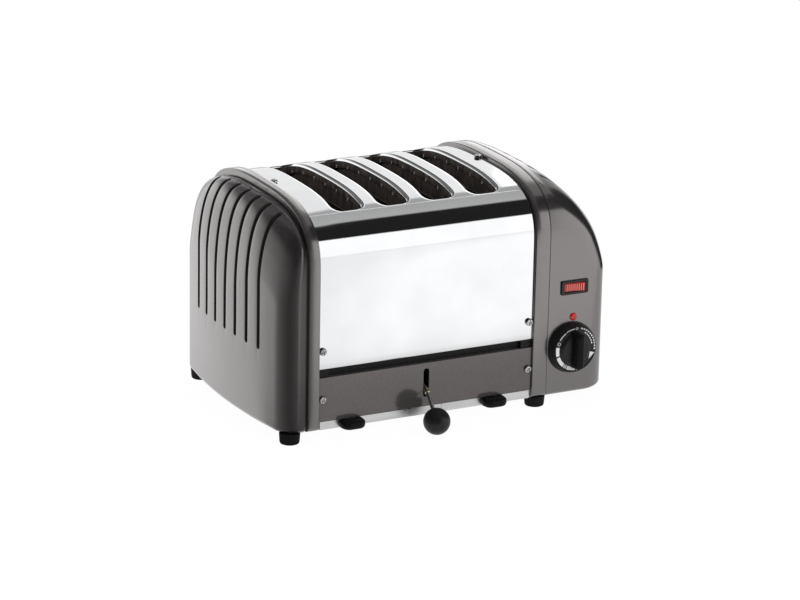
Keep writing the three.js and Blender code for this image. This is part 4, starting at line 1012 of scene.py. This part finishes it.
# The photograph's camera: degrees, metres, and pixels in a frame 800 wide
CAMERA_TURN, CAMERA_RISE, CAMERA_ROLL = -27.358, 17.590, 1.123
CAMERA_AIM = Vector((0, 0.015, 0.110))
CAMERA_DISTANCE = 3.3708
FOCAL_PIXELS = 3511.7
SHIFT_PIXELS = (4.546, -21.653)
FRAME_PIXELS = 800
SENSOR = 36


def make_camera():
    """The photograph's camera."""
    turn, rise, roll = (math.radians(v) for v in (CAMERA_TURN, CAMERA_RISE, CAMERA_ROLL))
    back = Vector((math.sin(turn) * math.cos(rise), -math.cos(turn) * math.cos(rise), math.sin(rise)))
    level = Vector((math.cos(turn), math.sin(turn), 0))
    steep = back.cross(level)
    right = level * math.cos(roll) + steep * math.sin(roll)
    up = steep * math.cos(roll) - level * math.sin(roll)
    data = bpy.data.cameras.new("camera")
    data.sensor_width = SENSOR
    data.lens = FOCAL_PIXELS / FRAME_PIXELS * SENSOR
    data.shift_x, data.shift_y = (pixels / FRAME_PIXELS for pixels in SHIFT_PIXELS)
    data.clip_end = 100
    camera = placed("camera", data)
    turned_to = Matrix((right, up, back)).transposed().to_4x4()
    camera.matrix_world = Matrix.Translation(CAMERA_AIM + back * CAMERA_DISTANCE) @ turned_to
    bpy.context.scene.camera = camera


def stage_mesh(name, points, faces, material):
    """A plain surface that isn't part of the object."""
    mesh = bpy.data.meshes.new(name)
    mesh.from_pydata(points, [], faces)
    mesh.materials.append(material)
    sheet = placed(name, mesh)
    return sheet


def worked(tree, operation, *values):
    """A sum of links or numbers."""
    return added(tree, "Math", enumerate(values), operation=operation).outputs[0]


def eased(tree, value, start, end, low=0.0, high=1.0):
    """A value eased from one level to another between two marks."""
    limits = {"Value": value, "From Min": start, "From Max": end, "To Min": low, "To Max": high}
    return added(tree, "MapRange", limits, interpolation_type="SMOOTHSTEP").outputs["Result"]


def blended(tree, share, first, second):
    """Two values blended by a share of the second."""
    rest = worked(tree, "MULTIPLY", first, worked(tree, "SUBTRACT", 1.0, share))
    return worked(tree, "MULTIPLY_ADD", second, share, rest)


def facing(tree, across, along):
    """The direction of a pair of values as a share of a turn, 0 and 1 where the second one is negative."""
    return worked(tree, "MULTIPLY_ADD", worked(tree, "ARCTAN2", across, along), 1 / (2 * math.pi), 0.5)


def leaned(tree, place, *axis):
    """How far a direction leans towards an axis."""
    return added(tree, "VectorMath", {0: place, 1: axis}, operation="DOT_PRODUCT").outputs["Value"]


def mixed(tree, share, first, second):
    """Two shaders mixed by a share of the second."""
    return added(tree, "MixShader", enumerate((share, first, second))).outputs[0]


def parted(tree, vector):
    """A vector's three values."""
    return tuple(added(tree, "SeparateXYZ", {0: vector}).outputs)


# Metres: the floor's radius, the black card's two lower corners and height, and the lamps' places and sizes
FLOOR_RADIUS = 7
CARD_ENDS = ((0.65, -0.04), (0.53, 0.22))
CARD_HEIGHT = 0.35
LAMPS = (("key", (0.9, -1.9, 1.5), 1.4, 24), ("fill", (-1.7, 0.9, 1.4), 1.4, 16),
         ("top", (0.1, 0.3, 2.3), 1.8, 14))
# The depth and the place across that the floor's levels turn round, at the left end's front
ROUND_AT = (-0.09, -0.15)
# Levels round the upright axis, from behind over the left to the front, as shares of a turn
ROUND_LEFT = ((0.0, 1.0), (0.25, 1.0), (0.265, 1.45), (0.325, 1.45), (0.35, 1.05), (0.37, 0.62),
              (0.417, 0.42), (0.486, 0.2), (0.564, 0.08), (0.642, 0.015), (0.728, 0.07), (0.783, 0.16),
              (0.8, 0.26), (0.812, 0.6), (0.82, 1.0), (0.835, 1.02), (0.855, 1.12), (1.0, 1.12))
# Levels over the lean of a reflection in the sheet: white low down, black, grey, and white behind
OVER_FRONT = ((0.0, 1.15), (0.607, 1.15), (0.612, 0.015), (0.733, 0.015), (0.743, 0.45), (0.832, 0.39),
              (0.846, 0.91), (1.0, 0.91))


def floor_material():
    """Pale floor: white to the camera, graded round the left end to gloss, and clear from below."""
    material, tree, _ = tree_of("floor")
    tree.nodes.clear()
    sums, ease = partial(worked, tree), partial(eased, tree)
    rays, spot = added(tree, "LightPath").outputs, added(tree, "NewGeometry").outputs
    x, y, _ = parted(tree, spot["Position"])
    turn = facing(tree, *(sums("SUBTRACT", fixed, place) for fixed, place in zip(ROUND_AT, (y, x))))
    graded = sums("MINIMUM", stepped(tree, turn, ROUND_LEFT), 1.12)
    # Painted shade: gloss sees the floor darker close to the object's front, where the object shades it
    near = sums("MULTIPLY", ease(y, -0.36, -0.18, 0.0, 0.35), ease(x, -0.22, -0.12))
    graded = sums("MULTIPLY", graded, sums("SUBTRACT", 1.0, near))
    glow = added(tree, "Emission", {"Strength": blended(tree, rays["Is Glossy Ray"], 1.02, graded)})
    paint = added(tree, "BsdfDiffuse", {"Color": (0.86, 0.86, 0.865, 1)})
    seen = sums("MULTIPLY", sums("MAXIMUM", rays["Is Camera Ray"], rays["Is Glossy Ray"]), 0.95)
    above = mixed(tree, seen, paint.outputs[0], glow.outputs[0])
    clear = added(tree, "BsdfTransparent").outputs[0]
    added(tree, "OutputMaterial", {"Surface": mixed(tree, spot["Backfacing"], above, clear)})
    return material


def make_world():
    """White surroundings; gloss shows a band in front of the sheet, and dark sides and ceiling beyond it."""
    world = bpy.data.worlds.new("studio")
    bpy.context.scene.world = world
    world.use_nodes = True
    tree = world.node_tree
    tree.nodes.clear()
    sums, ease = partial(worked, tree), partial(eased, tree)
    rays = added(tree, "LightPath").outputs
    place = added(tree, "TexCoord").outputs["Generated"]
    x, y, z = parted(tree, place)
    back = sums("MULTIPLY", y, -1.0)
    # In front: levels by the lean, skewed at the left and brighter high up, but for a strip
    lean = facing(tree, z, back)
    skew = sums("MULTIPLY", ease(x, 0.395, 0.43, 0.036, 0.0), ease(lean, 0.63, 0.69))
    band = stepped(tree, sums("ADD", lean, skew), OVER_FRONT)
    aside = ease(sums("ABSOLUTE", sums("SUBTRACT", x, 0.434)), 0.032, 0.036, 0.0, 0.85)
    aside = sums("MULTIPLY", aside, ease(lean, 0.835, 0.85))
    band = sums("MULTIPLY", band, sums("ADD", aside, 1.0))
    # To the left: levels round the upright axis, which fade upwards
    left = stepped(tree, facing(tree, back, sums("MULTIPLY", x, -1.0)), ROUND_LEFT)
    left = sums("MULTIPLY", left, ease(z, 0.1, 0.45, 0.85, 0.12))
    # To the right: white, but grey or black towards the back and the top
    over = leaned(tree, place, -0.055, 0.62, 0.785)
    beyond = ease(leaned(tree, place, 0.695, -0.72, -0.35), -0.03, 0.03, 0.42, 0.02)
    right = blended(tree, ease(over, -0.04, 0.04), 1.1, beyond)
    gloss = blended(tree, ease(x, 0.345, 0.39), left, band)
    gloss = blended(tree, ease(x, 0.57, 0.65), gloss, right)
    # Gloss sees these three, the camera and clear pieces see white, and the rest is lit by 0.45
    shown = sums("MAXIMUM", rays["Is Camera Ray"], rays["Is Transmission Ray"])
    other = sums("SUBTRACT", 1.0, sums("MAXIMUM", shown, rays["Is Glossy Ray"]))
    strength = sums("MULTIPLY_ADD", gloss, rays["Is Glossy Ray"], shown)
    light = {"Color": (1, 1, 1, 1), "Strength": sums("MULTIPLY_ADD", other, 0.45, strength)}
    added(tree, "OutputWorld", {"Surface": added(tree, "Background", light).outputs[0]})


def area_light(name, place, size, energy):
    """A soft lamp over the object, which gloss doesn't show."""
    data = bpy.data.lights.new(name, "AREA")
    data.shape = "SQUARE"
    data.size = size
    data.energy = energy
    lamp = placed(name, data)
    lamp.location = place
    lamp.rotation_mode = "QUATERNION"
    lamp.rotation_quaternion = (Vector((0, 0, 0.1)) - Vector(place)).to_track_quat("-Z", "Y")
    lamp.visible_glossy = False


def make_stage():
    """Floor, card, world and lamps."""
    turns = [i * 2 * math.pi / 64 for i in range(64)]
    floor = [(FLOOR_RADIUS * math.cos(t), FLOOR_RADIUS * math.sin(t), 0) for t in turns]
    stage_mesh("floor", floor, [tuple(range(64))], floor_material())
    (x0, y0), (x1, y1) = CARD_ENDS
    sheet = [(x0, y0, 0.0), (x1, y1, 0.0), (x1, y1, CARD_HEIGHT), (x0, y0, CARD_HEIGHT)]
    dark, tree, shader = tree_of("black_card")
    feed(tree, shader, {"Base Color": (0.01, 0.01, 0.01, 1), "Roughness": 0.9})
    card = stage_mesh("side_card", sheet, [(0, 1, 2, 3)], dark)
    for rays in ("camera", "diffuse", "shadow", "transmission"):
        setattr(card, "visible_" + rays, False)
    make_world()
    for name, place, size, energy in LAMPS:
        area_light(name, place, size, energy)


make_camera()
make_stage()
bpy.context.scene.view_settings.view_transform = "Standard"
